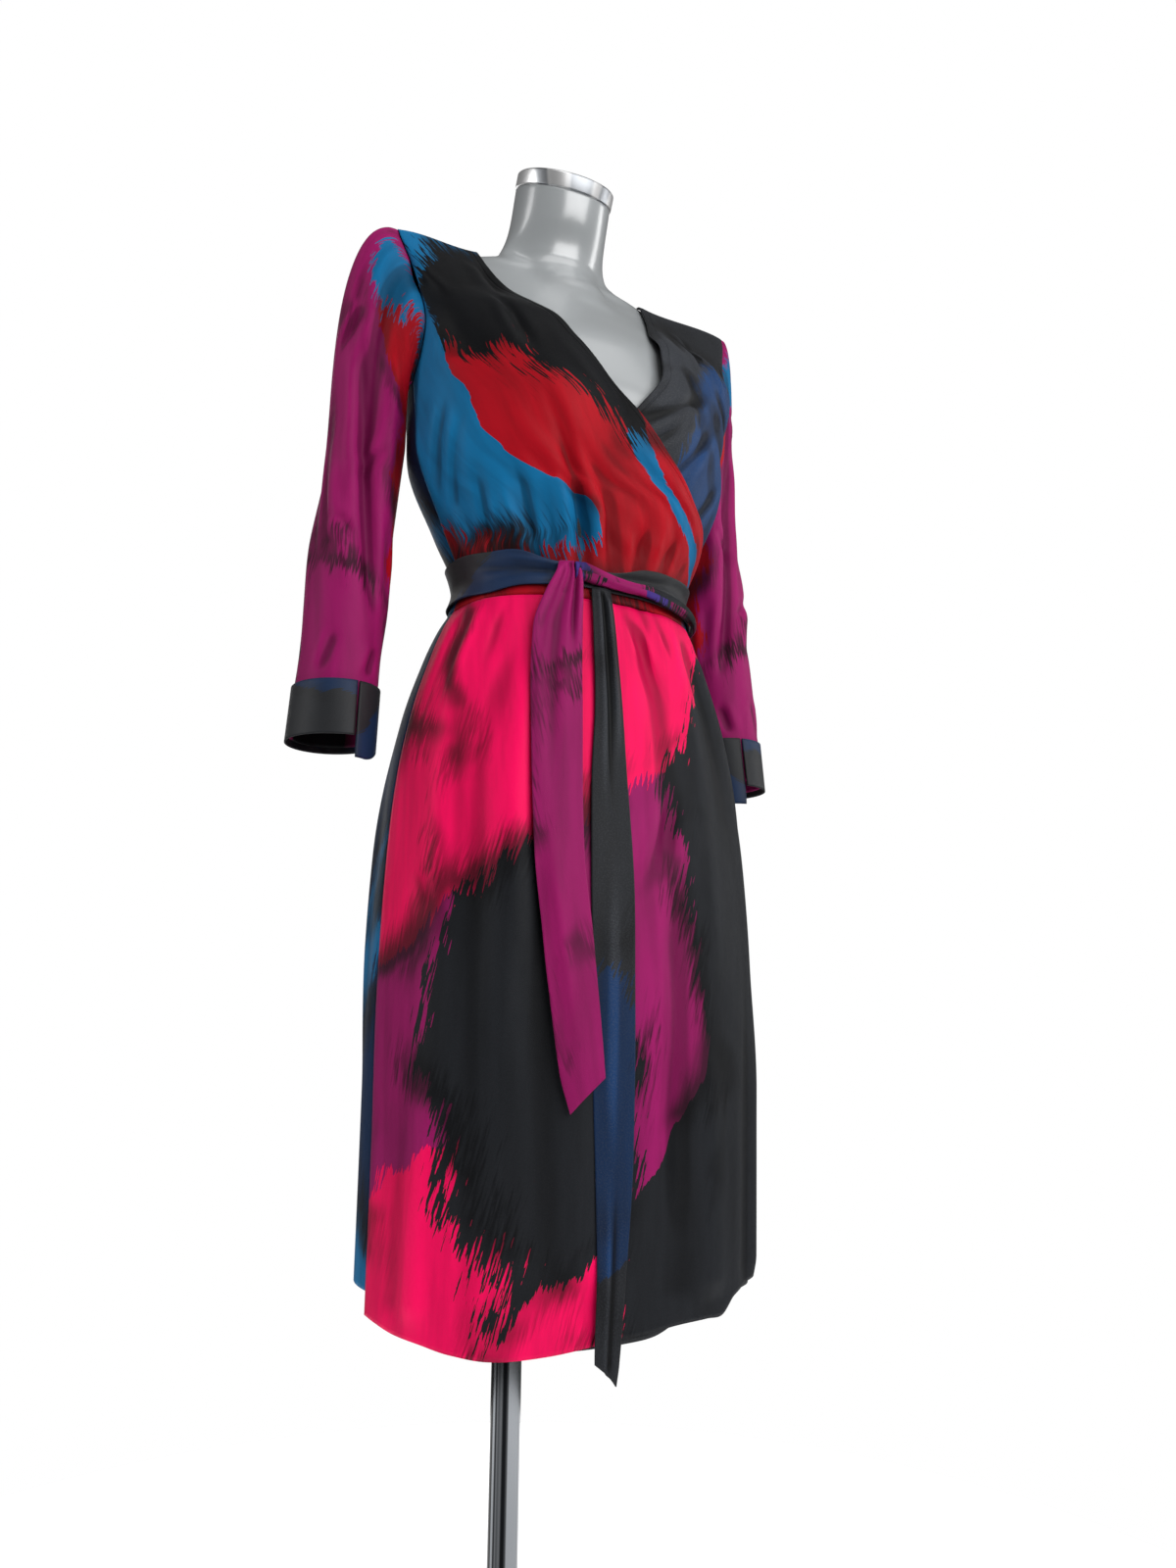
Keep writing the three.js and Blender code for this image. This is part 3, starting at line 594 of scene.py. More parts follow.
@dataclass
class Block:
    """The shape that the dress is cut to, as superellipse sections of tables; sizes in mm."""

    power: float = 2.3  # of the superellipse
    shoulder_fall: float = 18.0
    neck_back: float = 20.0
    bust: float = 17.0

    def __post_init__(self) -> None:
        """Reads the tables into curves."""
        self.bodice = {name: Profile(BODICE, name) for name in BodiceRow._fields[1:]}
        self.skirt = {name: Profile(SKIRT, name) for name in SkirtRow._fields[1:]}

    def sweep(self, turn: Array) -> tuple[Array, Array]:
        """Gives the shares of a section's half width and depth at a turn.

        Args:
            turn: Degrees from the middle.

        Returns:
            The shares across and out.
        """
        angle = np.radians(turn)
        across, out = (
            np.sign(v) * np.abs(v) ** (2 / self.power) for v in (np.sin(angle), np.cos(angle))
        )
        return across, out

    def turn_at(self, x: Array, half: Array) -> Array:
        """Gives the turn at which a section reaches a distance from the middle.

        Args:
            x: The distance.
            half: The section's half width.

        Returns:
            The turn in degrees.
        """
        share = np.minimum(1, np.abs(x) / half) ** (self.power / 2)
        return np.sign(x) * np.degrees(np.arcsin(share))

    def bust_rise(self, x: Array, z: Array) -> Array:
        """Returns how far the front stands out over the bust."""
        return self.bust * bell(z - 150, 62) * (bell(x - 62, 46) + bell(x + 62, 46))

    def bodice_point(self, turn: Array, z: Array, facing: int) -> Array:
        """Places points on the bodice.

        Args:
            turn: Degrees from the middle.
            z: Heights in mm.
            facing: FRONT or BACK.

        Returns:
            Points in mm.
        """
        across, out = self.sweep(turn)
        x = self.bodice["edge"](z) * across
        if facing == FRONT:
            middle = self.bodice["front"](z) + self.bust_rise(x, z)
            edge = self.bodice["front_edge"](z)
        else:
            middle, edge = self.bodice["back"](z), self.bodice["back_edge"](z)
        depth = mix(np.maximum(0, edge), middle, out)
        along = (np.abs(x) - NECK_HALF) / (SHOULDER_HALF - NECK_HALF)
        fall = self.shoulder_fall * np.maximum(0, along) * ease((z - ARMPIT) / 177)
        back = self.neck_back * ease((z - 230) / 120) * (1 - ease(along))
        return points(x, facing * depth + back, z - fall)

    def skirt_point(self, turn: Array, z: Array, facing: int) -> Array:
        """Places points on the skirt.

        Args:
            turn: Degrees from the middle.
            z: Heights in mm.
            facing: FRONT or BACK.

        Returns:
            Points in mm.
        """
        across, out = self.sweep(turn)
        depth = self.skirt["front" if facing == FRONT else "back"](z)
        return points(self.skirt["side"](z) * across, facing * depth * out, z)

    def waist_point(self, turn: Array, z: Array) -> Array:
        """Places points all the way round the waist.

        Args:
            turn: Degrees from the middle of the front, -180 to 180.
            z: Heights in mm.

        Returns:
            Points in mm.
        """
        aside = np.sign(turn) * (180 - np.abs(turn))
        in_front = (np.abs(turn) <= 90)[..., None]
        return np.where(
            in_front, self.bodice_point(turn, z, FRONT), self.bodice_point(aside, z, BACK)
        )

    def in_front(self, x: Array, z: Array, lift: Array) -> Array:
        """Places points in front of the dress.

        Args:
            x: Distances from the middle in mm.
            z: Heights in mm.
            lift: Distances from the dress's own outline in mm.

        Returns:
            Points in mm.
        """
        above = self.bodice_point(self.turn_at(x, self.bodice["edge"](z)), z, FRONT)
        below = self.skirt_point(self.turn_at(x, self.skirt["side"](z)), z, FRONT)
        point = np.where((z > WAIST_SEAM)[..., None], above, below)
        return point + points(x * 0.004 * lift, -lift, 0.0)


class Wire:
    """One output of a material's nodes, with arithmetic on it."""

    def __init__(self, shader: "Shader", socket: bpy.types.NodeSocket) -> None:
        """Keeps the socket and the shader that it belongs to."""
        self.shader = shader
        self.socket = socket

    def __add__(self, other: Any) -> "Wire":
        """Returns the sum."""
        return self.shader.math("ADD", self, other)

    def __radd__(self, other: Any) -> "Wire":
        """Returns the sum."""
        return self.shader.math("ADD", other, self)

    def __sub__(self, other: Any) -> "Wire":
        """Returns the difference."""
        return self.shader.math("SUBTRACT", self, other)

    def __rsub__(self, other: Any) -> "Wire":
        """Returns the difference the other way round."""
        return self.shader.math("SUBTRACT", other, self)

    def __mul__(self, other: Any) -> "Wire":
        """Returns the product."""
        return self.shader.math("MULTIPLY", self, other)

    def __rmul__(self, other: Any) -> "Wire":
        """Returns the product."""
        return self.shader.math("MULTIPLY", other, self)


class Shader:
    """Builds one node material around a Principled BSDF."""

    def __init__(self, name: str) -> None:
        """Starts the material.

        Args:
            name: The material's name.
        """
        self.material = bpy.data.materials.new(name)
        self.material.use_nodes = True
        self.tree = self.material.node_tree
        self.tree.nodes.clear()
        self.surface = self.tree.nodes.new("ShaderNodeBsdfPrincipled")
        output = self.tree.nodes.new("ShaderNodeOutputMaterial")
        self.tree.links.new(self.surface.outputs["BSDF"], output.inputs["Surface"])

    def node(self, kind: str, settings: dict[str, Any], inputs: dict[Any, Any]) -> bpy.types.Node:
        """Makes any node.

        Args:
            kind: The node's type.
            settings: Its properties.
            inputs: Its inputs by name or index, each a Wire or a value.

        Returns:
            The node.
        """
        made = self.tree.nodes.new(kind)
        for key, value in settings.items():
            setattr(made, key, value)
        for key, value in inputs.items():
            if isinstance(value, Wire):
                self.tree.links.new(value.socket, made.inputs[key])
            else:
                made.inputs[key].default_value = value
        return made

    def out(self, made: bpy.types.Node, name: Any = 0) -> Wire:
        """Returns one output of a node as a Wire."""
        return Wire(self, made.outputs[name])

    def math(self, operation: str, a: Any, b: Any) -> Wire:
        """Returns the result of a Math node."""
        return self.out(self.node("ShaderNodeMath", {"operation": operation}, {0: a, 1: b}))

    def places(self) -> Wire:
        """Returns places on the piece, in metres."""
        return self.out(self.node("ShaderNodeTexCoord", {}, {}), "Object")

    def mapped(self, vector: Wire, **inputs: Any) -> Wire:
        """Returns places moved, turned and scaled by a Mapping node's inputs."""
        return self.out(self.node("ShaderNodeMapping", {}, {"Vector": vector, **inputs}))

    def carried(self, name: str) -> Wire:
        """Returns a number that the piece's own points carry."""
        return self.out(self.node("ShaderNodeAttribute", {"attribute_name": name}, {}), "Fac")

    def step(self, value: Wire, low: float, high: float) -> Wire:
        """Maps a value smoothly onto 0 to 1.

        Args:
            value: The value.
            low: Where the result is 0.
            high: Where the result is 1.

        Returns:
            The mapped value.
        """
        inputs = {"Value": value, "From Min": low, "From Max": high}
        settings = {"interpolation_type": "SMOOTHSTEP"}
        return self.out(self.node("ShaderNodeMapRange", settings, inputs))

    def blend(self, factor: Any, a: Any, b: Any) -> Wire:
        """Mixes two colours.

        Args:
            factor: The share of the second colour.
            a: The first colour.
            b: The second colour.

        Returns:
            The mixed colour.
        """
        made = self.node("ShaderNodeMix", {"data_type": "RGBA"}, {0: factor})
        for key, value in ((6, a), (7, b)):
            if isinstance(value, Wire):
                self.tree.links.new(value.socket, made.inputs[key])
            else:
                made.inputs[key].default_value = (*value, 1.0)
        return self.out(made, 2)

    def shaded(self, colour: Wire, share: Any) -> Wire:
        """Returns the colour times a share."""
        made = self.node("ShaderNodeVectorMath", {"operation": "SCALE"}, {0: colour, 3: share})
        return self.out(made)

    def bands(self, value: Wire, bands: Sequence[tuple[Colour, float]]) -> Wire:
        """Picks a colour for each value from bands of colours.

        Args:
            value: Chances from 0 to 1.
            bands: Each colour and its share of the chances.

        Returns:
            The colour.
        """
        made = self.node("ShaderNodeValToRGB", {}, {0: value})
        ramp = made.color_ramp
        ramp.interpolation = "CONSTANT"
        start = 0.0
        for number, (colour, share) in enumerate(bands):
            stop = ramp.elements[number] if number < 2 else ramp.elements.new(start)
            stop.position, stop.color = start, (*colour, 1.0)
            start += share
        return self.out(made)

    def noise(self, vector: Wire, scale: float, detail: float, seed: float = 0.0) -> Wire:
        """Makes a noise texture.

        Args:
            vector: Where it is read, in metres.
            scale: Its fineness, per metre.
            detail: How many finer layers it has.
            seed: Picks one of many patterns.

        Returns:
            The noise's value.
        """
        settings = {"noise_dimensions": "4D"}
        inputs = {"Vector": vector, "W": seed, "Scale": scale, "Detail": detail}
        return self.out(self.node("ShaderNodeTexNoise", settings, inputs))

    def fill(self, **values: Any) -> None:
        """Sets the surface's inputs; underscores stand for spaces."""
        for key, value in values.items():
            socket = self.surface.inputs[key.replace("_", " ")]
            if isinstance(value, Wire):
                self.tree.links.new(value.socket, socket)
            else:
                socket.default_value = value

    def bump(self, height: Wire, distance: float, strength: float = 1.0) -> None:
        """Raises the surface's look by a height.

        Args:
            height: The height, in units of distance.
            distance: The height's unit, in metres.
            strength: The share of it that shows.
        """
        inputs = {"Height": height, "Distance": distance, "Strength": strength}
        self.fill(Normal=self.out(self.node("ShaderNodeBump", {}, inputs)))


def paint(code: str) -> Colour:
    """Turns a colour as it is seen into linear light.

    Args:
        code: Six hexadecimal digits.

    Returns:
        Red, green and blue.
    """
    seen = [int(code[k : k + 2], 16) / 255 for k in (0, 2, 4)]
    red, green, blue = (
        c / 12.92 if c <= 0.04045 else ((c + 0.055) / 1.055) ** 2.4 for c in seen
    )
    return red, green, blue


@dataclass(frozen=True)
class PrintedJersey:
    """A fine jersey, printed with broad overlapping brush dabs in several colours.

    bands gives each colour's share of the dabs, size is a dab's width in metres and lean the
    way that the brush went, in degrees.
    """

    slot: str
    bands: tuple[tuple[Colour, float], ...]
    size: float = 0.17
    lean: float = 25.0
    stretch: float = 1.7
    seed: float = 1.0
    sheen: float = 0.03
    roughness: float = 0.56
    gloss: float = 0.12
    heather: float = 0.035
    # Hollow at which the painted crease shade is full, and the strengths of the painted shade in
    # creases and the painted highlight on ridges
    fold_shade_depth: float = 0.0017
    shade: float = 0.45
    light: float = 0.12

    def brushed(self, shader: Shader, place: Wire, scale: float, feather: float) -> Wire:
        """Turns the cloth's places along the brush and roughens them as a dry brush does.

        Args:
            shader: The material being built.
            place: Places on the flat cloth, in metres.
            scale: Width of a dab, in metres.
            feather: How far the bristles drag a dab's edge, in metres.

        Returns:
            Places in dab widths.
        """
        start = (self.seed * 1.7, self.seed * 0.9, 0.0)
        lean = (0.0, 0.0, math.radians(self.lean))
        along = shader.mapped(place, Location=start, Rotation=lean)
        bristles = shader.mapped(along, Scale=(420.0, 34.0, 1.0))
        drag = shader.noise(bristles, 1.0, 3.0, self.seed)
        swirl = shader.node(
            "ShaderNodeTexNoise",
            {"noise_dimensions": "4D"},
            {"Vector": along, "W": self.seed, "Scale": 0.8 / scale, "Detail": 3.0},
        )
        swirled = shader.node(
            "ShaderNodeVectorMath",
            {"operation": "MULTIPLY_ADD"},
            {0: shader.out(swirl, "Color"), 1: (scale * 1.3,) * 3, 2: along},
        )
        split = shader.node("ShaderNodeSeparateXYZ", {}, {0: shader.out(swirled)})
        x = shader.out(split, 0) + (drag - 0.5) * (0.9 * feather)
        y = shader.out(split, 1) + (drag - 0.5) * (2.4 * feather)
        joined = shader.node("ShaderNodeCombineXYZ", {}, {0: x, 1: y, 2: self.seed})
        size = (1.0 / scale, 1.0 / (scale * self.stretch), 1.0)
        return shader.mapped(shader.out(joined), Scale=size)

    def design(self, shader: Shader, place: Wire) -> Wire:
        """Lays out the print.

        Args:
            shader: The material being built.
            place: Places on the flat cloth, in metres.

        Returns:
            The printed colour.
        """
        dabs = self.brushed(shader, place, self.size, 0.05)
        cells = shader.node("ShaderNodeTexVoronoi", {}, {"Vector": dabs, "Scale": 1.0})
        pick = shader.node("ShaderNodeSeparateColor", {}, {0: shader.out(cells, "Color")})
        colour = shader.bands(shader.out(pick, 0), self.bands)
        rims = shader.node(
            "ShaderNodeTexVoronoi",
            {"feature": "DISTANCE_TO_EDGE"},
            {"Vector": dabs, "Scale": 1.0},
        )
        patchy = shader.step(shader.noise(place, 9.0, 2.0, self.seed + 8.0), 0.44, 0.58)
        bleed = 1.0 - shader.step(shader.out(rims, "Distance"), 0.02, 0.13)
        colour = shader.blend(bleed * patchy * 0.85, colour, NEAR_BLACK)
        small = self.brushed(shader, place, self.size * 0.42, 0.03)
        spots = shader.node("ShaderNodeTexVoronoi", {}, {"Vector": small, "Scale": 1.0})
        chance = shader.node("ShaderNodeSeparateColor", {}, {0: shader.out(spots, "Color")})
        chosen = shader.step(shader.out(chance, 1), 0.87, 0.88)
        near = 1.0 - shader.step(shader.out(spots, "Distance"), 0.16, 0.42)
        colour = shader.blend(chosen * near * 0.9, colour, NEAR_BLACK)
        lean = (0.0, 0.0, math.radians(self.lean))
        streak = shader.mapped(place, Rotation=lean, Scale=(70.0, 9.0, 1.0))
        stroke = shader.step(shader.noise(streak, 1.0, 4.0, self.seed), 0.35, 0.7)
        return shader.blend(stroke * 0.42, colour, shader.shaded(colour, 0.5))

    def material(self) -> bpy.types.Material:
        """Builds the material.

        Returns:
            The material.
        """
        shader = Shader(self.slot)
        place = shader.out(shader.node("ShaderNodeUVMap", {"uv_map": "cloth"}, {}))
        colour = self.design(shader, place)
        fleck = shader.noise(place, HEATHER_FINENESS, 2.0, self.seed)
        heather = shader.step(fleck, 0.42, 0.72)
        colour = shader.blend(heather * self.heather, colour, ASH)
        # Painted shade darkens the colour in creases and painted highlight lightens it on ridges, by
        # the hollow that each point carries.
        hollow = shader.carried("hollow")
        deep = shader.step(hollow, FOLD_SHADE_START, self.fold_shade_depth)
        high = shader.step(0.0 - hollow, FOLD_SHADE_START, self.fold_shade_depth)
        colour = shader.shaded(colour, 1.0 - deep * self.shade + high * self.light)
        line = shader.math("ABSOLUTE", shader.carried("rim") - STITCH_INSET, 0.0)
        stitch = shader.step(line, *STITCH_EDGE)
        knit = shader.noise(place, KNIT_FINENESS, 1.0, self.seed)
        ripple = shader.noise(place, RIPPLE_FINENESS, 2.0, self.seed + 5.0)
        shader.bump(stitch * 0.9 + knit * 0.25 + ripple * 2.2, BUMP_UNIT, 0.8)
        shader.fill(Base_Color=colour, Roughness=self.roughness)
        shader.fill(Sheen_Weight=self.sheen, Sheen_Roughness=0.35)
        shader.fill(Specular_IOR_Level=self.gloss)
        return shader.material


@dataclass(frozen=True)
class GlossPaint:
    """Smooth sprayed gloss, polished on the neck and duller on the chest below it."""

    slot: str
    colour: Colour
    roughness: float = 0.4
    chest: tuple[float, float] = (1.33, 1.43)  # heights in metres where the polish fades

    def material(self) -> bpy.types.Material:
        """Builds the material.

        Returns:
            The material.
        """
        shader = Shader(self.slot)
        place = shader.places()
        cloud = shader.noise(place, 4.0, 2.0)
        deeper = tuple(0.93 * c for c in self.colour)
        shader.fill(Base_Color=shader.blend(cloud, deeper, self.colour))
        shader.fill(Roughness=self.roughness + shader.noise(place, 30.0, 2.0) * 0.03)
        height = shader.out(shader.node("ShaderNodeSeparateXYZ", {}, {"Vector": place}), "Z")
        polish = shader.step(height, *self.chest)
        shader.fill(Coat_Weight=polish * 0.6 + 0.4, Coat_Roughness=0.22, Coat_IOR=2.0)
        return shader.material


@dataclass(frozen=True)
class Chrome:
    """Polished plated steel; painted reflections lie in its colour as dim and bright bands that run
    down it and in to its axis.

    streaks is how many of them there are, middle where its axis stands, in metres.
    """

    slot: str
    colour: Colour
    dark_reflection: Colour
    streaks: float
    roughness: float = 0.14
    middle: tuple[float, float] = (0.0, 0.0)

    def material(self) -> bpy.types.Material:
        """Builds the material.

        Returns:
            The material.
        """
        shader = Shader(self.slot)
        place = shader.places()
        middle = (-self.middle[0], -self.middle[1], 0.0)
        flat = shader.mapped(place, Location=middle, Scale=(1.0, 1.0, 0.0))
        spoke = shader.node("ShaderNodeVectorMath", {"operation": "NORMALIZE"}, {0: flat})
        # Painted reflections: bands of the two colours that run down the metal, by the angle round
        # its axis.
        noise = shader.noise(shader.out(spoke), self.streaks, 1.0, 2.0)
        band = shader.step(noise, 0.46, 0.58)
        smear = shader.noise(place, 18.0, 3.0)
        shader.fill(Base_Color=shader.blend(band, self.dark_reflection, self.colour), Metallic=1.0)
        shader.fill(Roughness=self.roughness + smear * 0.05)
        return shader.material


NEAR_BLACK = paint("0c0d10")
CHARCOAL = paint("202226")
ASH = paint("4a4c51")
CRIMSON = paint("b0071b")
HOT_PINK = paint("ff045e")
MAGENTA = paint("9c1663")
TEAL = paint("0f70a4")
NAVY = paint("0d2a4e")
VIOLET = paint("463286")


class Look(Enum):
    """The finishes, each made under the name of its slot."""

    CRIMSON_JERSEY = PrintedJersey(
        "crimson_jersey",
        ((CRIMSON, 0.30), (TEAL, 0.26), (NEAR_BLACK, 0.20), (MAGENTA, 0.14), (NAVY, 0.10)),
        lean=-20.0,
        seed=2.3,
    )
    CHARCOAL_JERSEY = PrintedJersey(
        "charcoal_jersey",
        ((CHARCOAL, 0.70), (NEAR_BLACK, 0.22), (NAVY, 0.08)),
        seed=5.1,
        gloss=0.17,
        heather=0.2,
        fold_shade_depth=0.0012,
        shade=0.72,
        light=1.1,
    )
    BACK_JERSEY = PrintedJersey(
        "charcoal_jersey",
        ((CHARCOAL, 0.34), (NEAR_BLACK, 0.16), (TEAL, 0.14), (MAGENTA, 0.18), (NAVY, 0.18)),
        lean=-8.0,
        seed=6.4,
        shade=0.28,
    )
    HOT_PINK_JERSEY = PrintedJersey(
        "hot_pink_jersey",
        ((HOT_PINK, 0.30), (CHARCOAL, 0.34), (MAGENTA, 0.18), (CRIMSON, 0.08), (NAVY, 0.10)),
        size=0.2,
        lean=15.0,
        seed=7.7,
    )
    MAGENTA_JERSEY = PrintedJersey(
        "magenta_jersey",
        ((MAGENTA, 0.44), (NEAR_BLACK, 0.14), (TEAL, 0.24), (CRIMSON, 0.18)),
        size=0.13,
        lean=-12.0,
        seed=3.9,
    )
    NAVY_JERSEY = PrintedJersey(
        "navy_jersey",
        ((NAVY, 0.46), (CHARCOAL, 0.44), (TEAL, 0.10)),
        size=0.09,
        lean=70.0,
        seed=9.2,
        gloss=0.34,
    )
    VIOLET_JERSEY = PrintedJersey(
        "violet_jersey",
        ((VIOLET, 0.36), (MAGENTA, 0.40), (CHARCOAL, 0.24)),
        size=0.07,
        lean=80.0,
        seed=4.1,
    )
    FORM_GLOSS = GlossPaint("form_grey", paint("a8acae"))
    CHROME_CAP = Chrome(
        "chrome",
        paint("ffffff"),
        paint("a9acb0"),
        1.8,
        roughness=0.36,
        middle=(0.0, (FORM[-1].middle - BODY_FORWARD) * MM),
    )
    CHROME_TUBE = Chrome("chrome", paint("85888c"), paint("121315"), 2.4)
    CHROME_PLATE = Chrome("chrome", paint("c4c7cb"), paint("aeb1b5"), 3.0, roughness=0.3)


class Held(Enum):
    """How a sheet of cloth is held."""

    DRAPED = "draped"
    HUNG = "hung"
    GATHERED = "gathered"
    FOLDED = "folded"


@dataclass(frozen=True)
class Sheet:
    """The facts of one piece of cloth and the fineness of its shell."""

    name: str
    look: Look
    held: Held
    across: int
    up: int
    ring: bool = False
    solid: bool = False
    borders: tuple[str, ...] = ()
    rests_on: tuple[str, ...] = ("form_torso",)


class Dressmaker:
    def __init__(self) -> None:
        """Makes the materials."""
        self.materials = {look: look.value.material() for look in Look}
        self.origin = np.array([0.0, -BODY_FORWARD, WAIST_HEIGHT])

    def grid(
        self,
        surface: Surface,
        across: int,
        up: int,
        ring: bool,
        close: bool,
        borders: Sequence[str] = (),
        outward: Callable[[Array], Array] = from_axis,
    ) -> tuple[bmesh.types.BMesh, Array]:
        """Makes a grid and places its vertices on a surface.

        Args:
            surface: The surface, in mm.
            across: Faces across it.
            up: Faces up it.
            ring: Whether its two sides meet.
            close: Whether its open ends are filled.
            borders: Its finished borders.
            outward: Gives rough outward directions at points in mm.

        Returns:
            The mesh, and its points in rows, in metres.
        """
        bm = bmesh.new()
        uv = bm.loops.layers.uv.new("cloth")
        rim = bm.verts.layers.float.new("rim")
        hollow = bm.verts.layers.float.new("hollow")
        bmesh.ops.create_grid(bm, x_segments=across, y_segments=up, size=0.5)
        bm.verts.ensure_lookup_table()
        column = np.array([round((v.co.x + 0.5) * across) for v in bm.verts])
        row = np.array([round((v.co.y + 0.5) * up) for v in bm.verts])
        s, t = np.meshgrid(np.arange(across + 1) / across, np.arange(up + 1) / up)
        rows = (surface(s, t) + self.origin) * MM
        side = np.linalg.norm(np.diff(rows, axis=1), axis=2)
        u = np.concatenate([np.zeros((up + 1, 1)), np.cumsum(side, axis=1)], axis=1)
        u -= u[:, -1:] / 2
        rise = np.linalg.norm(np.diff(rows[:, across // 2], axis=0), axis=1)
        v = np.concatenate([[0.0], np.cumsum(rise)])
        far = self.rims(rows, borders)
        depth = self.hollows(rows, outward)
        for vert, i, j in zip(bm.verts, column, row):
            vert.co = rows[j, i]
            vert[rim], vert[hollow] = far[j, i], depth[j, i]
            for loop in vert.link_loops:
                loop[uv].uv = (u[j, i], v[j])
        if ring:
            bmesh.ops.remove_doubles(bm, verts=bm.verts[:], dist=1e-6)
        if close:
            edges = [edge for edge in bm.edges if edge.is_boundary]
            bmesh.ops.holes_fill(bm, edges=edges, sides=0)
        return bm, rows

    def settle(self, bm: bmesh.types.BMesh, name: str, look: Look) -> bpy.types.Object:
        """Turns a mesh into an object of the scene.

        Args:
            bm: The mesh, in metres.
            name: The object's name.
            look: Its finish.

        Returns:
            The object.
        """
        LOG.info("%s: %d faces", name, len(bm.faces))
        for face in bm.faces:
            face.smooth = True
        mesh = bpy.data.meshes.new(f"dressed_{name}")
        bm.to_mesh(mesh)
        bm.free()
        made = bpy.data.objects.new(f"dressed_{name}", mesh)
        bpy.context.scene.collection.objects.link(made)
        mesh.materials.append(self.materials[look])
        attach(made, "root")
        return made

    @staticmethod
    def face_out(bm: bmesh.types.BMesh, outward: Callable[[Array], Array], origin: Array) -> None:
        """Turns the faces of an open mesh round if they face inward.

        Args:
            bm: The mesh, in metres.
            outward: Gives rough outward directions at points in mm.
            origin: The origin of those points in mm.
        """
        bm.normal_update()
        middle = np.array([face.calc_center_median() for face in bm.faces]) / MM - origin
        normal = np.array([face.normal for face in bm.faces])
        if np.sum(normal * outward(middle)) < 0:
            bmesh.ops.reverse_faces(bm, faces=bm.faces[:])

    def hollows(self, rows: Array, outward: Callable[[Array], Array]) -> Array:
        """Works out how deep each point lies below the cloth round it, for the painted shade in
        creases and the painted highlight on ridges.

        Args:
            rows: The piece's points in rows, in metres.
            outward: Gives rough outward directions at points in mm.

        Returns:
            The depths in metres, in rows, minus on ridges.
        """
        soft = rows.copy()
        for _ in range(SOFTENING):
            soft[1:-1] = (soft[:-2] + 2 * soft[1:-1] + soft[2:]) / 4
            soft[:, 1:-1] = (soft[:, :-2] + 2 * soft[:, 1:-1] + soft[:, 2:]) / 4
        normal = unit(np.cross(np.gradient(rows, axis=1), np.gradient(rows, axis=0)))
        away = outward(rows / MM - self.origin)
        turned = np.sum(normal * away, axis=-1, keepdims=True) < 0
        normal = np.where(turned, -normal, normal)
        depth = np.sum((soft - rows) * normal, axis=-1)
        return depth - np.median(depth)

    @staticmethod
    def rims(rows: Array, borders: Sequence[str]) -> Array:
        """Works out each point's distance from the nearest finished border.

        Args:
            rows: The piece's points in rows, in metres.
            borders: The finished borders.

        Returns:
            The distances in metres, in rows.
        """
        up, across = rows.shape[0] - 1, rows.shape[1] - 1
        far = np.full(rows.shape[:2], 0.5)
        side = np.linalg.norm(np.diff(rows, axis=1), axis=2)
        left = np.concatenate([np.zeros((up + 1, 1)), np.cumsum(side, axis=1)], axis=1)
        rise = np.linalg.norm(np.diff(rows, axis=0), axis=2)
        low = np.concatenate([np.zeros((1, across + 1)), np.cumsum(rise, axis=0)], axis=0)
        distances = {
            "left": left,
            "right": left[:, -1:] - left,
            "bottom": low,
            "top": low[-1:] - low,
        }
        for border in borders:
            far = np.minimum(far, distances[border])
        return far

    def cloth(
        self, sheet: Sheet, surface: Surface, outward: Callable[[Array], Array] = from_axis
    ) -> bpy.types.Object:
        """Builds one piece of cloth.

        Args:
            sheet: The facts of the piece.
            surface: Its outer face, in mm.
            outward: Gives rough outward directions at points in mm.

        Returns:
            The piece.
        """
        shape = (sheet.across, sheet.up, sheet.ring, sheet.solid, sheet.borders)
        bm, rows = self.grid(surface, *shape, outward)
        if sheet.solid:
            bmesh.ops.recalc_face_normals(bm, faces=bm.faces[:])
        else:
            self.face_out(bm, outward, self.origin)
        made = self.settle(bm, sheet.name, sheet.look)
        if not sheet.solid:
            shell = made.modifiers.new("cloth", "SOLIDIFY")
            shell.thickness = CLOTH * MM
            shell.offset = -1.0
        self.declare(sheet, rows)
        return made

    def declare(self, sheet: Sheet, rows: Array) -> None:
        """Hides the node that the piece replaces and works out the widths of its cloth, which are
        not used.

        Args:
            sheet: Its facts.
            rows: Its points in rows, in metres.
        """
        widths = np.linalg.norm(np.diff(rows, axis=1), axis=2).sum(axis=1)
        if sheet.solid:
            widths = widths / 2  # a roll is the cloth doubled
        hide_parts(sheet.name)

    def loft(
        self, name: str, surface: Surface, around: int, up: int, look: Look
    ) -> bpy.types.Object:
        """Builds a smooth closed solid over the node of the same name.

        Args:
            name: The node's name.
            surface: Its rings, in mm, with s around and t up.
            around: Faces around it.
            up: Faces up it.
            look: Its finish.

        Returns:
            The piece.
        """
        bm, _ = self.grid(surface, around, up, True, True)
        bmesh.ops.recalc_face_normals(bm, faces=bm.faces[:])
        made = self.settle(bm, name, look)
        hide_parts(name)
        return made

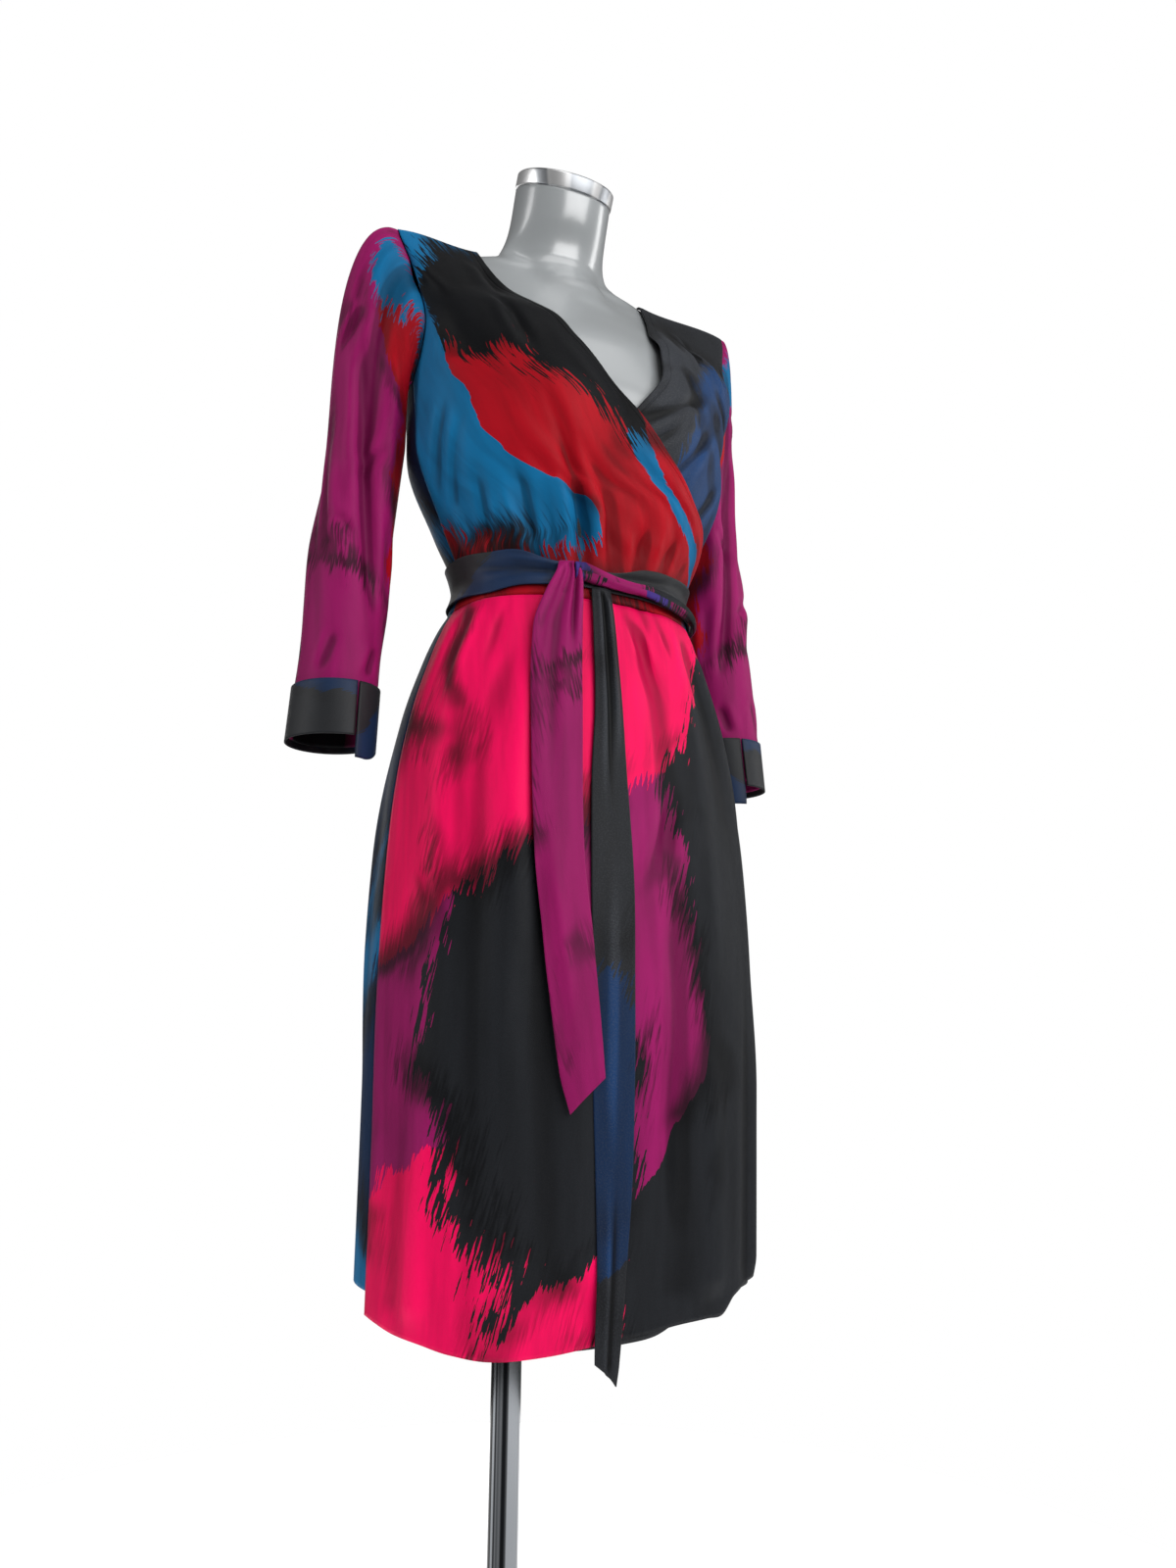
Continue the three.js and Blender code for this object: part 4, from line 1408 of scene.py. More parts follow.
    def turned(
        self, name: str, outline: Sequence[tuple[float, float]], axis: Matrix, look: Look
    ) -> bpy.types.Object:
        """Spins an outline into a closed round piece.

        Args:
            name: The node's name.
            outline: Radius and height pairs in mm, from one end to the other.
            axis: Places the upright axis, in metres.
            look: The finish.

        Returns:
            The piece.
        """
        bm = bmesh.new()
        ring = [(0.0, outline[0][1]), *outline, (0.0, outline[-1][1])]
        verts = [bm.verts.new((radius * MM, 0.0, height * MM)) for radius, height in ring]
        edges = [bm.edges.new(pair) for pair in zip(verts, verts[1:])]
        turn = {"axis": (0, 0, 1), "cent": (0, 0, 0), "angle": math.tau, "steps": 96}
        bmesh.ops.spin(bm, geom=verts + edges, use_merge=True, **turn)
        bmesh.ops.remove_doubles(bm, verts=bm.verts[:], dist=1e-6)
        bmesh.ops.recalc_face_normals(bm, faces=bm.faces[:])
        bm.transform(axis)
        made = self.settle(bm, name, look)
        rounded = made.modifiers.new("edges", "BEVEL")
        rounded.width = 0.0006
        rounded.segments = 3
        rounded.limit_method = "ANGLE"
        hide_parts(name)
        return made


FRONT_CREASES = (
    Crease((-21, -10), (-29, 120), 7.5, width=8, bow=4, fade=(0.05, 0.6)),
    Crease((-13, -6), (-31, 175), -3.6, width=5, bow=6, fade=(0.05, 0.45)),
    Crease((-6, -8), (-22, 128), 6.8, width=8, bow=5, fade=(0.05, 0.6)),
    Crease((-1, -6), (-8, 78), -3.2, width=4.5, fade=(0.05, 0.6)),
    Crease((4, -6), (1, 62), 6.0, width=6, fade=(0.05, 0.6)),
    Crease((11, -6), (8, 62), -3.2, width=4.5, fade=(0.05, 0.6)),
    Crease((17, -8), (16, 70), 5.2, width=7, fade=(0.05, 0.6)),
    Crease((24, -8), (25, 66), -3.0, width=5, fade=(0.05, 0.6)),
    Crease((36, -8), (40, 52), -2.6, width=6, fade=(0.05, 0.6)),
    Crease((-42, 275), (-28, 190), -3.4, width=6, bow=3),
    Crease((-33, 345), (-37, 262), -3.6, width=7, lip=0.7),
    Crease((-66, 170), (-88, 70), -3.8, width=8, bow=-6),
    Crease((-57, 150), (-84, 40), -2.8, width=6, bow=-5),
    Crease((-58, -10), (-56, 105), -3.8, width=6.5, bow=-4, fade=(0.05, 0.5)),
    Crease((-36, -10), (-42, 118), -3.2, width=5.5, bow=3, fade=(0.05, 0.55)),
    Crease((-44, -10), (-48, 90), 4.8, width=8, fade=(0.05, 0.5)),
    Crease((-74, -10), (-80, 90), 3.9, width=9, fade=(0.05, 0.5)),
    Crease((-76, 235), (-52, 195), -2.8, width=9, bow=5),
    Crease((-84, 330), (-60, 262), 3.6, width=14),
)
UNDER_CREASES = (
    Crease((35, 335), (51, 218), 3.4, width=4, bow=2),
    Crease((41, 330), (31, 222), -4.0, width=5.5, bow=-2),
    Crease((-4, 140), (36, 216), -4.4, width=5.5, bow=2),
    Crease((4, 124), (24, 182), -3.4, width=4.5, bow=2),
    Crease((11, 90), (40, 188), -4.6, width=6, bow=3),
    Crease((30, 50), (54, 146), -3.4, width=7, bow=3),
    Crease((27, 330), (12, 215), 3.9, width=11, bow=-3),
    Crease((24, 250), (30, 150), -3.4, width=10, bow=4),
    Crease((45, 262), (72, 206), -3.6, width=6.5, bow=-4),
    Crease((40, 232), (74, 158), -3.2, width=6, bow=-5),
    Crease((38, 190), (62, 96), 3.6, width=12, bow=5),
    Crease((60, 180), (80, 60), -3.4, width=11),
    Crease((52, -8), (50, 84), -3.1, width=8, fade=(0.05, 0.5)),
    Crease((66, -8), (70, 70), 3.6, width=9, fade=(0.05, 0.5)),
)
BACK_CREASES = (
    Crease((-22, -8), (-28, 92), 3.4, width=8, fade=(0.05, 0.5)),
    Crease((-10, -8), (-14, 70), -2.4, width=7, fade=(0.05, 0.5)),
    Crease((16, -8), (20, 88), 3.0, width=8, fade=(0.05, 0.5)),
    Crease((27, -8), (30, 62), -2.4, width=7, fade=(0.05, 0.5)),
    Crease((-64, -8), (-70, 84), -2.6, width=9, fade=(0.05, 0.5)),
    Crease((62, -8), (66, 74), 2.8, width=9, fade=(0.05, 0.5)),
    Crease((-74, 240), (-40, 185), -2.6, width=12, bow=6),
    Crease((76, 236), (44, 176), -2.4, width=12, bow=-6),
    Crease((-30, 320), (28, 300), -1.8, width=14, bow=8),
)
SKIRT_CREASES = (
    Crease((-1, -24), (10, -98), -3.6, width=5, bow=-5, fade=(0.08, 0.5)),
    Crease((16, -24), (22, -92), -3.0, width=5, bow=-3, fade=(0.08, 0.6)),
    Crease((6, -30), (16, -130), 5.5, width=9, bow=-4, fade=(0.1, 0.6)),
    Crease((20, -190), (-1, -335), -3.2, width=8, bow=6, lip=0.8),
    Crease((27, -180), (6, -360), 4.4, width=15, bow=8),
    Crease((-31, -60), (-29, -430), 4.7, width=11, bow=5, fade=(0.2, 0.4)),
    Crease((-26, -110), (-25, -520), -1.8, width=9, bow=4),
    Crease((-42, -90), (-39, -520), 4.4, width=13, bow=-5),
    Crease((-54, -60), (-52, -420), -2.2, width=11, bow=4),
    Crease((-60, -34), (-66, -180), 3.4, width=8, fade=(0.08, 0.6)),
    Crease((-48, -34), (-50, -120), -2.2, width=7, fade=(0.08, 0.6)),
    Crease((-74, -34), (-78, -150), -2.4, width=8, fade=(0.08, 0.6)),
    Crease((-70, -280), (-60, -335), -2.4, width=8, bow=4),
    Crease((-14, -240), (-10, -640), 3.9, width=14, bow=7, fade=(0.4, 0.1)),
    Crease((18, -400), (22, -650), 4.7, width=15, fade=(0.4, 0.1)),
    Crease((33, -40), (37, -210), -2.2, width=9, fade=(0.08, 0.6)),
    Crease((40, -44), (46, -330), 3.9, width=12, bow=-6, fade=(0.1, 0.5)),
    Crease((54, -40), (58, -260), -2.2, width=10, fade=(0.08, 0.6)),
    Crease((56, -360), (54, -650), 4.2, width=13, fade=(0.4, 0.1)),
    Crease((-60, -420), (-64, -660), 4.2, width=14, fade=(0.4, 0.1)),
)
SKIRT_BACK_CREASES = (
    Crease((-20, -34), (-22, -190), 4.4, width=9, fade=(0.08, 0.6)),
    Crease((-44, -34), (-50, -240), -2.6, width=9, bow=6, fade=(0.08, 0.5)),
    Crease((14, -34), (12, -150), -2.6, width=8, fade=(0.08, 0.6)),
    Crease((24, -60), (20, -420), 4.7, width=14, bow=-6),
    Crease((52, -34), (58, -220), 4.2, width=10, fade=(0.08, 0.5)),
    Crease((-66, -120), (-60, -520), 4.4, width=14, bow=8),
    Crease((66, -260), (60, -640), -3.0, width=14, fade=(0.4, 0.1)),
    Crease((10, -330), (14, -640), -2.8, width=14, fade=(0.4, 0.1)),
)


@dataclass
class Bodice:
    """The two fronts and the back above the waist seam; sizes in mm."""

    block: Block
    maker: Dressmaker
    neckline_drop: float = 26.0

    def __post_init__(self) -> None:
        """Reads the neckline edges."""
        self.outer_edge = Profile(OUTER_EDGE, "x")
        self.under_edge = Profile(UNDER_EDGE, "x")

    @staticmethod
    def rise(t: Array, top: Any = NECK_POINT) -> Array:
        """Returns heights whose rows lie closer together towards the shoulder."""
        return mix(WAIST_SEAM + SEAM_GAP, top, 1 - (1 - t) ** 1.4)

    def front(
        self,
        edge: Profile,
        side: int,
        lift: Callable[[Array, Array], Array],
        folds: Sequence[Fold],
        creases: Sequence[Crease],
    ) -> Surface:
        """Makes the surface of one front.

        Args:
            edge: Its neckline edge.
            side: -1 for the wearer's right and 1 for the left.
            lift: Distance from the block at each turn and height.
            folds: Its long folds.
            creases: Its finer creases.

        Returns:
            The surface, from the side seam to the edge.
        """

        def place(s: Array, t: Array) -> tuple[Array, Array]:
            """Returns turns and heights."""
            z = self.rise(t)
            end = self.block.turn_at(edge(z), self.block.bodice["edge"](z))
            return mix(side * SIDE, end, s), z

        def base(s: Array, t: Array) -> Array:
            """Returns points on the block with the long folds."""
            turn, z = place(s, t)
            point = self.block.bodice_point(turn, z, FRONT)
            long = folds_lift(folds, s, z) * belt_hold(z)
            point[..., 1] -= RIDGE_GAP * ease((z - 300) / 70) + long
            return point

        def off(s: Array, t: Array) -> Array:
            """Returns how far the cloth and its finer creases lie off it."""
            turn, z = place(s, t)
            near_seam = ease((SIDE - np.abs(turn)) / 6) * ease((356 - z) / 24)
            held = mix(0.3, 1.0, ease((np.abs(z) - BELT_HALF + 4) / 20))
            return lift(turn, z) + creases_lift(creases, turn, z) * near_seam * held

        return raised(base, off)

    def back(self, s: Array, t: Array) -> Array:
        """Gives the surface of the back.

        Args:
            s: Shares from the wearer's right to the left.
            t: Shares from the waist seam to the neckline and shoulders.

        Returns:
            Points in mm.
        """
        turn = mix(-SIDE, SIDE, s)
        aside = np.abs(self.block.sweep(turn)[0]) * SHOULDER_HALF
        top = NECK_POINT - self.neckline_drop * ease((NECK_HALF + 6 - aside) / 60)
        z = self.rise(t, top)
        point = self.block.bodice_point(turn, z, BACK)
        near_seam = ease((SIDE - np.abs(turn)) / 6) * ease((340 - z) / 24)
        fine = creases_lift(BACK_CREASES, turn, z) * near_seam
        lift = (folds_lift(BACK_FOLDS, turn, z) + fine) * belt_hold(z)
        point[..., 1] += RIDGE_GAP * ease((z - 300) / 70) + lift
        return point

    def build(self) -> None:
        """Builds the three pieces."""
        outer = self.front(self.outer_edge, -1, wrap_lift, OUTER_FRONT_FOLDS, FRONT_CREASES)
        under = self.front(
            self.under_edge, 1, lambda turn, z: 0 * z, UNDER_FRONT_FOLDS, UNDER_CREASES
        )
        edge = ("right",)
        for surface, name, look, across, up, borders in (
            (outer, "bodice_front_right", Look.CRIMSON_JERSEY, 170, 150, edge),
            (under, "bodice_front_left", Look.CHARCOAL_JERSEY, 140, 130, edge),
            (self.back, "bodice_back", Look.BACK_JERSEY, 160, 120, ("top",)),
        ):
            sheet = Sheet(name, look, Held.DRAPED, across, up, borders=borders)
            self.maker.cloth(sheet, surface)


def wrap_lift(turn: Array, z: Array) -> Array:
    """Returns how far the outer front lies off the block, down to its own side seam."""
    return LAYER * ease((turn + 84) / 24) * ease((300 - z) / 90)


@dataclass
class Skirt:
    """The two overlapping fronts and the back below the waist seam.

    The panels' edges are counted in equal steps of turn between the side seams; the height of
    the hem behind is in mm.
    """

    block: Block
    maker: Dressmaker
    steps: int = 36
    back_hem: float = -638.0

    def __post_init__(self) -> None:
        """Reads the hems."""
        self.outer_hem = Profile(OUTER_HEM, "z")
        self.under_hem = Profile(UNDER_HEM, "z")

    def panel(
        self,
        columns: tuple[int, int],
        facing: int,
        hem: Callable[[Array], Array],
        folds: Sequence[Fold],
        lift: Callable[[Array, Array], Array],
    ) -> Surface:
        """Makes the surface of one panel.

        Args:
            columns: Its first and last step.
            facing: FRONT or BACK.
            hem: Height of the hem at each turn.
            folds: Its long folds.
            lift: Distance from the block at each turn and height.

        Returns:
            The surface.
        """
        first, last = (mix(-SIDE, SIDE, k / self.steps) for k in columns)

        def place(s: Array, t: Array) -> tuple[Array, Array]:
            """Returns turns and heights."""
            turn = mix(first, last, s)
            return turn, mix(hem(turn), WAIST_SEAM - SEAM_GAP, t)

        def base(s: Array, t: Array) -> Array:
            """Returns points on the block with the long folds."""
            turn, z = place(s, t)
            point = self.block.skirt_point(turn, z, facing)
            point[..., 1] += facing * folds_lift(folds, turn, z) * self.block.sweep(turn)[1]
            return point

        return raised(base, lambda s, t: lift(*place(s, t)))

    @staticmethod
    def fine(creases: Sequence[Crease], turn: Array, z: Array) -> Array:
        """Gives the lift of finer creases, which the side seams and the belt hold down.

        Args:
            creases: The creases.
            turn: Degrees from the middle.
            z: Heights in mm.

        Returns:
            The lift in mm.
        """
        held = ease((SIDE - np.abs(turn)) / 6) * mix(0.3, 1, ease((-34 - z) / 30))
        return creases_lift(creases, turn, z) * held

    def build(self) -> None:
        """Builds the three pieces."""
        outer = self.panel(
            (0, 32),
            FRONT,
            self.outer_hem,
            SKIRT_FRONT_FOLDS,
            lambda turn, z: wrap_lift(turn, 0 * z) + self.fine(SKIRT_CREASES, turn, z),
        )
        under = self.panel(
            (6, 36),
            FRONT,
            self.under_hem,
            SKIRT_FRONT_FOLDS,
            lambda turn, z: self.fine(SKIRT_CREASES, turn, z) * ease((turn - 66) / 8),
        )
        back = self.panel(
            (0, 36),
            BACK,
            lambda turn: self.back_hem + 0 * turn,
            SKIRT_BACK_FOLDS,
            lambda turn, z: self.fine(SKIRT_BACK_CREASES, turn, z),
        )
        for surface, name, look, across, up in (
            (outer, "skirt_front_right", Look.HOT_PINK_JERSEY, 170, 180),
            (under, "skirt_front_left", Look.CHARCOAL_JERSEY, 140, 150),
            (back, "skirt_back", Look.BACK_JERSEY, 160, 150),
        ):
            self.maker.cloth(Sheet(name, look, Held.HUNG, across, up), surface)


SLEEVE_CREASES = (
    Crease((52, 250), (76, 60), -6.0, width=7, bow=4),
    Crease((98, 230), (104, 20), 4.8, width=8, bow=-4),
    Crease((58, 268), (8, 214), -4.5, width=6, bow=5),
    Crease((24, 130), (40, -40), 3.9, width=9, bow=5),
    Crease((-30, 150), (-12, -30), -3.6, width=9, bow=4),
    Crease((110, 130), (60, 84), -3.4, width=6, bow=4),
    Crease((10, 60), (60, 20), -2.8, width=7, bow=-3),
    Crease((-100, 170), (-60, 120), -4.2, width=7, bow=4),
    Crease((130, 60), (100, -90), 3.6, width=8),
    Crease((-130, 40), (-100, -100), 3.6, width=8),
    Crease((16, -60), (-10, -112), -2.8, width=6),
    Crease((80, -70), (60, -116), -3.1, width=6),
)


@dataclass
class Sleeves:
    """A sleeve and its cuff on each side; they are worked out on the wearer's right.

    Sizes and heights are in mm, twist and vent in degrees. head_share is the share of the
    sleeve's length that its head takes, and pucker the height of the small gathers there.
    """

    block: Block
    maker: Dressmaker
    twist: float = 50.0
    head_bottom: float = 140.0
    head_share: float = 0.4
    pucker: float = 0.9
    cuff_top: float = -112.0
    cuff_bottom: float = -164.0
    cuff_lift: float = 2.6
    vent: float = 100.0
    vent_drop: float = 20.0

    def __post_init__(self) -> None:
        """Reads the rings."""
        self.ring = {name: Profile(SLEEVE, name) for name in SleeveRow._fields[1:]}

    def middle(self, z: Array) -> Array:
        """Returns the middle of the ring at each height."""
        return points(-self.ring["x"](z), self.ring["y"](z), z)

    def ring_point(self, turn: Array, z: Array) -> Array:
        """Returns points on the rings; a turn of 0 is the outer side and 90 the front."""
        angle = np.radians(turn)
        return self.middle(z) + points(
            -self.ring["across"](z) * np.cos(angle), -self.ring["deep"](z) * np.sin(angle), 0.0
        )

    def outward(self, point: Array) -> Array:
        """Returns the directions away from the sleeve's middle line."""
        return point - self.middle(np.minimum(point[..., 2], self.head_bottom + 90))

    def level(self, point: Array) -> Array:
        """Returns the level directions away from the sleeve's middle line."""
        return unit(self.outward(point) * np.array([1.0, 1.0, 0.0]))

    def head(self, turn: Array, t: Array, fullness: float) -> Array:
        """Gives the sleeve head, from the armhole to the first ring.

        Args:
            turn: Degrees round the sleeve.
            t: Shares of the way down.
            fullness: How far the top stands out.

        Returns:
            Points in mm.
        """
        angle = np.radians(turn)
        top = (1 + np.cos(angle)) / 2
        z = mix(ARMPIT, NECK_POINT, top)
        side = np.full_like(z, -90.0)
        in_front = (np.sin(angle) >= 0)[..., None]
        armhole = np.where(
            in_front,
            self.block.bodice_point(side, z, FRONT),
            self.block.bodice_point(side, z, BACK),
        )
        leave = points(-0.9, -0.25 * np.sin(angle), -0.35 * (1 - top))
        start = armhole + leave * 0.8
        end = self.ring_point(turn, np.full_like(z, self.head_bottom))
        reach = np.linalg.norm(end - start, axis=-1)
        swell = t * (1 - t) ** 2 * reach * (0.45 + fullness * top)
        point = mix(start, end, ease(t)[..., None]) + leave * swell[..., None]
        return point - np.array([-0.06, 0.0, -1.0]) * (t * t * (1 - t) * reach)[..., None]

    def sleeve(self, sign: int, fullness: float) -> Surface:
        """Makes the surface of one sleeve.

        Args:
            sign: 1 for the wearer's right and -1 for the left.
            fullness: How far the top stands out.

        Returns:
            The surface, from the armhole down to the cuff.
        """

        def place(s: Array, t: Array) -> Array:
            """Returns points on the head and the tube below it."""
            turn = 360 * s - 180
            down = (t - self.head_share) / (1 - self.head_share)
            below = mix(self.head_bottom, self.cuff_bottom + 6, clamp(down))
            twist = self.twist * ease((t - self.head_share) / 0.45)
            tube = self.ring_point(turn + twist, below)
            cap = self.head(turn, clamp(t / self.head_share), fullness)
            point = np.where((t < self.head_share)[..., None], cap, tube)
            z = point[..., 2]
            fine = creases_lift(SLEEVE_CREASES, turn, z, SLEEVE_GIRTH)
            fine = fine * ease(t / 0.06) * ease((z - self.cuff_top) / 14)
            eased = bell(turn, 75) * ease(t / 0.02) * ease((0.13 - t) / 0.12)
            fine = fine + self.pucker * eased * np.sin(np.radians(24 * turn + 70 * np.sin(turn / 9)))
            lift = folds_lift(SLEEVE_FOLDS, turn, z) + fine
            return self.mirror(point + self.level(point) * lift[..., None], sign)

        return place

    def cuff(self, sign: int) -> Surface:
        """Makes the surface of one cuff, which is open at its vent.

        Args:
            sign: 1 for the wearer's right and -1 for the left.

        Returns:
            The surface.
        """

        def place(s: Array, t: Array) -> Array:
            """Returns points on the cuff."""
            turn = self.vent + mix(1.5, 358.5, s)
            drop = self.vent_drop * ease((0.24 - s) / 0.2)
            point = self.ring_point(turn, mix(self.cuff_bottom - drop, self.cuff_top, t))
            flare = 3 * (1 - t) * (bell(s, 0.06) + bell(1 - s, 0.06))
            return self.mirror(point + self.level(point) * (self.cuff_lift + flare)[..., None], sign)

        return place

    @staticmethod
    def mirror(point: Array, sign: int) -> Array:
        """Returns the points, on the other side where the sign is -1."""
        return point * np.array([sign, 1.0, 1.0])

    def build(self) -> None:
        """Builds both sleeves and both cuffs."""
        for name, sign, fullness in (("right", 1, 0.45), ("left", -1, -0.1)):

            def away(point: Array, sign: int = sign) -> Array:
                """Returns the directions away from this sleeve's middle line."""
                return self.mirror(self.outward(self.mirror(point, sign)), sign)

            sleeve = Sheet(f"sleeve_{name}", Look.MAGENTA_JERSEY, Held.HUNG, 120, 190, ring=True)
            self.maker.cloth(sleeve, self.sleeve(sign, fullness), away)
            under = (sleeve.name,)
            cuff = Sheet(f"cuff_{name}", Look.NAVY_JERSEY, Held.HUNG, 128, 28, rests_on=under)
            self.maker.cloth(cuff, self.cuff(sign), away)


BELT_CREASES = (
    Crease((-78, 6), (-28, -4), -1.5, width=4, bow=3, fade=(0.4, 0.1)),
    Crease((-64, -12), (-26, -10), -1.4, width=3.5, bow=-2, fade=(0.4, 0.1)),
    Crease((-58, 9), (-24, 1), 1.2, width=3, fade=(0.4, 0.1)),
    Crease((-48, -3), (-20, -7), -1.3, width=3, fade=(0.4, 0.1)),
    Crease((30, 7), (-2, -4), -1.5, width=4, bow=-3, fade=(0.4, 0.1)),
    Crease((44, -4), (2, -9), 1.3, width=4, bow=2, fade=(0.4, 0.1)),
    Crease((64, 4), (20, 2), -1.2, width=5, bow=3),
    Crease((-150, 4), (-118, -6), -1.0, width=5),
    Crease((120, -6), (158, 5), -1.0, width=5),
)
SHORT_TAIL_CREASES = (
    Crease((0.1, 4), (-0.25, -250), -3.2, width=6, bow=2, fade=(0.02, 0.6)),
    Crease((0.5, 4), (0.62, -88), -3.6, width=2.6, fade=(0.02, 0.5)),
    Crease((0.82, 2), (0.85, -130), 1.8, width=3, fade=(0.05, 0.6)),
    Crease((-0.5, -2), (-0.7, -110), -2.6, width=4, fade=(0.05, 0.6)),
    Crease((-0.2, -230), (0.1, -470), 2.2, width=7, bow=3),
)
LONG_TAIL_CREASES = (
    Crease((0.0, -20), (0.1, -260), -2.8, width=4, bow=1, fade=(0.02, 0.5)),
    Crease((0.5, -24), (0.6, -200), 2.2, width=4, fade=(0.05, 0.5)),
    Crease((0.1, -260), (-0.2, -560), 2.0, width=7, bow=2),
    Crease((0.0, -520), (0.1, -690), -1.8, width=4, fade=(0.5, 0.05)),
)


@dataclass(frozen=True)
class Knot:
    """Sizes of the knot, in mm."""

    x: float = -46.0
    half: float = 8.0
    top: float = -4.0
    bottom: float = -24.0
    lift: float = 8.3
    depth: float = 3.1


@dataclass
class Belt:
    """The band, knot, strand and two tails of the tied belt.

    strand_flatness is the strand's depth as a share of its width, strand_tuck how much of it
    goes in under the short tail, in degrees, and tail_bulge how far the middle of a tail stands
    out, in mm.
    """

    block: Block
    maker: Dressmaker
    knot: Knot
    strand_flatness: float = 0.55
    strand_tuck: float = 4.5
    tail_bulge: float = 2.0

    def __post_init__(self) -> None:
        """Reads the tables."""
        self.band = {name: Profile(BELT, name) for name in BeltRow._fields[1:]}
        self.strand = {name: Profile(STRAND, name) for name in StrandRow._fields[1:]}

    @staticmethod
    def lift(turn: Array) -> Array:
        """Returns how far the band's outer face lies off the block."""
        return LAYER + 3.8 * ease((turn + 95) / 30) * ease((100 - turn) / 30)

    def band_place(self, s: Array, t: Array) -> tuple[Array, Array]:
        """Returns the turns and heights of the band at s and t."""
        turn = 360 * s - 180
        return turn, self.band["z"](turn) + self.band["half"](turn) * (2 * t - 1)

    def band_surface(self) -> Surface:
        """Makes the surface of the band.

        Returns:
            The surface, right round the waist.
        """

        def off(s: Array, t: Array) -> Array:
            """Returns how far the band lies off the block."""
            turn, z = self.band_place(s, t)
            return self.lift(turn) + creases_lift(BELT_CREASES, turn, z)

        def base(s: Array, t: Array) -> Array:
            """Returns points on the block."""
            return self.block.waist_point(*self.band_place(s, t))

        return raised(base, off)

    def tail(
        self,
        rows: Sequence[TailRow],
        ends: tuple[float, float],
        creases: Sequence[Crease],
    ) -> Surface:
        """Makes the surface of one tail.

        Args:
            rows: Its table.
            ends: Heights of the two corners of its end.
            creases: Its creases, placed in half widths from its middle.

        Returns:
            The surface, from its end up to the knot.
        """
        shape = {name: Profile(rows, name) for name in TailRow._fields[1:]}

        def place(s: Array, t: Array) -> Array:
            """Returns points on the tail."""
            z = mix(mix(ends[0], ends[1], s), rows[0].z, t)
            aside = 2 * s - 1
            fine = creases_lift(creases, aside, z, TAIL_GIRTH)
            bulge = self.tail_bulge * (1 - aside**2) + fine
            x = shape["x"](z) + shape["half"](z) * aside
            return self.block.in_front(x, z, shape["lift"](z) + bulge)

        return place

    def strand_ring(self, s: Array, t: Array) -> Array:
        """Gives the strand, a roll of cloth with two grooves that wind round it.

        Args:
            s: Shares round the roll.
            t: Shares along it, from the knot.

        Returns:
            Points in mm.
        """
        turn = mix(STRAND[0].turn - self.strand_tuck, STRAND[-1].turn, t)
        around = np.radians(360 * s)
        groove = 0.14 * np.cos(2 * around + np.radians(900 * t))
        fine = 0.05 * np.cos(5 * around + np.radians(1300 * t))
        wide = self.strand["wide"](turn) * (1 - groove - fine)
        middle = self.lift(turn) + 1.05 + self.strand_flatness * self.strand["wide"](turn) * 1.14
        z = self.strand["z"](turn)
        step = self.block.waist_point(turn + 1, z) - self.block.waist_point(turn - 1, z)
        out = unit(np.cross(step, np.array([0.0, 0.0, 1.0])))
        reach = middle + self.strand_flatness * wide * np.cos(around)
        raise_by = points(0.0, 0.0, wide * np.sin(around))
        return self.block.waist_point(turn, z) + out * reach[..., None] + raise_by

    def knot_ring(self, s: Array, t: Array) -> Array:
        """Gives the knot, a bundle that wraps over the belt.

        Args:
            s: Shares round the bundle.
            t: Shares of the way up.

        Returns:
            Points in mm.
        """
        around = np.radians(360 * s)
        rise = np.sin(np.pi * mix(0.1, 0.9, t))
        half = self.knot.half * mix(0.75, 1.0, rise)
        x = self.knot.x + half * np.sin(around)
        z = mix(self.knot.bottom, self.knot.top, t) + 3 * np.sin(around)
        depth = self.knot.depth * rise * (1 + 0.1 * np.cos(4 * around + 2 * t))
        return self.block.in_front(x, z, self.knot.lift + depth + depth * np.cos(around))

    def build(self) -> None:
        """Builds the five pieces."""
        cloth = self.maker.cloth
        band = Sheet("belt_band", Look.NAVY_JERSEY, Held.GATHERED, 400, 24, ring=True)
        cloth(band, self.band_surface())
        on_skirt = ("skirt_front_right",)
        short = Sheet("tail_short", Look.MAGENTA_JERSEY, Held.HUNG, 30, 180, rests_on=on_skirt)
        cloth(short, self.tail(SHORT_TAIL, SHORT_TAIL_ENDS, SHORT_TAIL_CREASES))
        long = Sheet("tail_long", Look.CHARCOAL_JERSEY, Held.HUNG, 28, 220, rests_on=on_skirt)
        cloth(long, self.tail(LONG_TAIL, LONG_TAIL_ENDS, LONG_TAIL_CREASES))
        roll = {"ring": True, "solid": True, "rests_on": ("belt_band",)}
        strand = Sheet("belt_strand", Look.VIOLET_JERSEY, Held.FOLDED, 40, 200, **roll)
        cloth(strand, self.strand_ring)
        cloth(Sheet("belt_knot", Look.NAVY_JERSEY, Held.FOLDED, 48, 40, **roll), self.knot_ring)


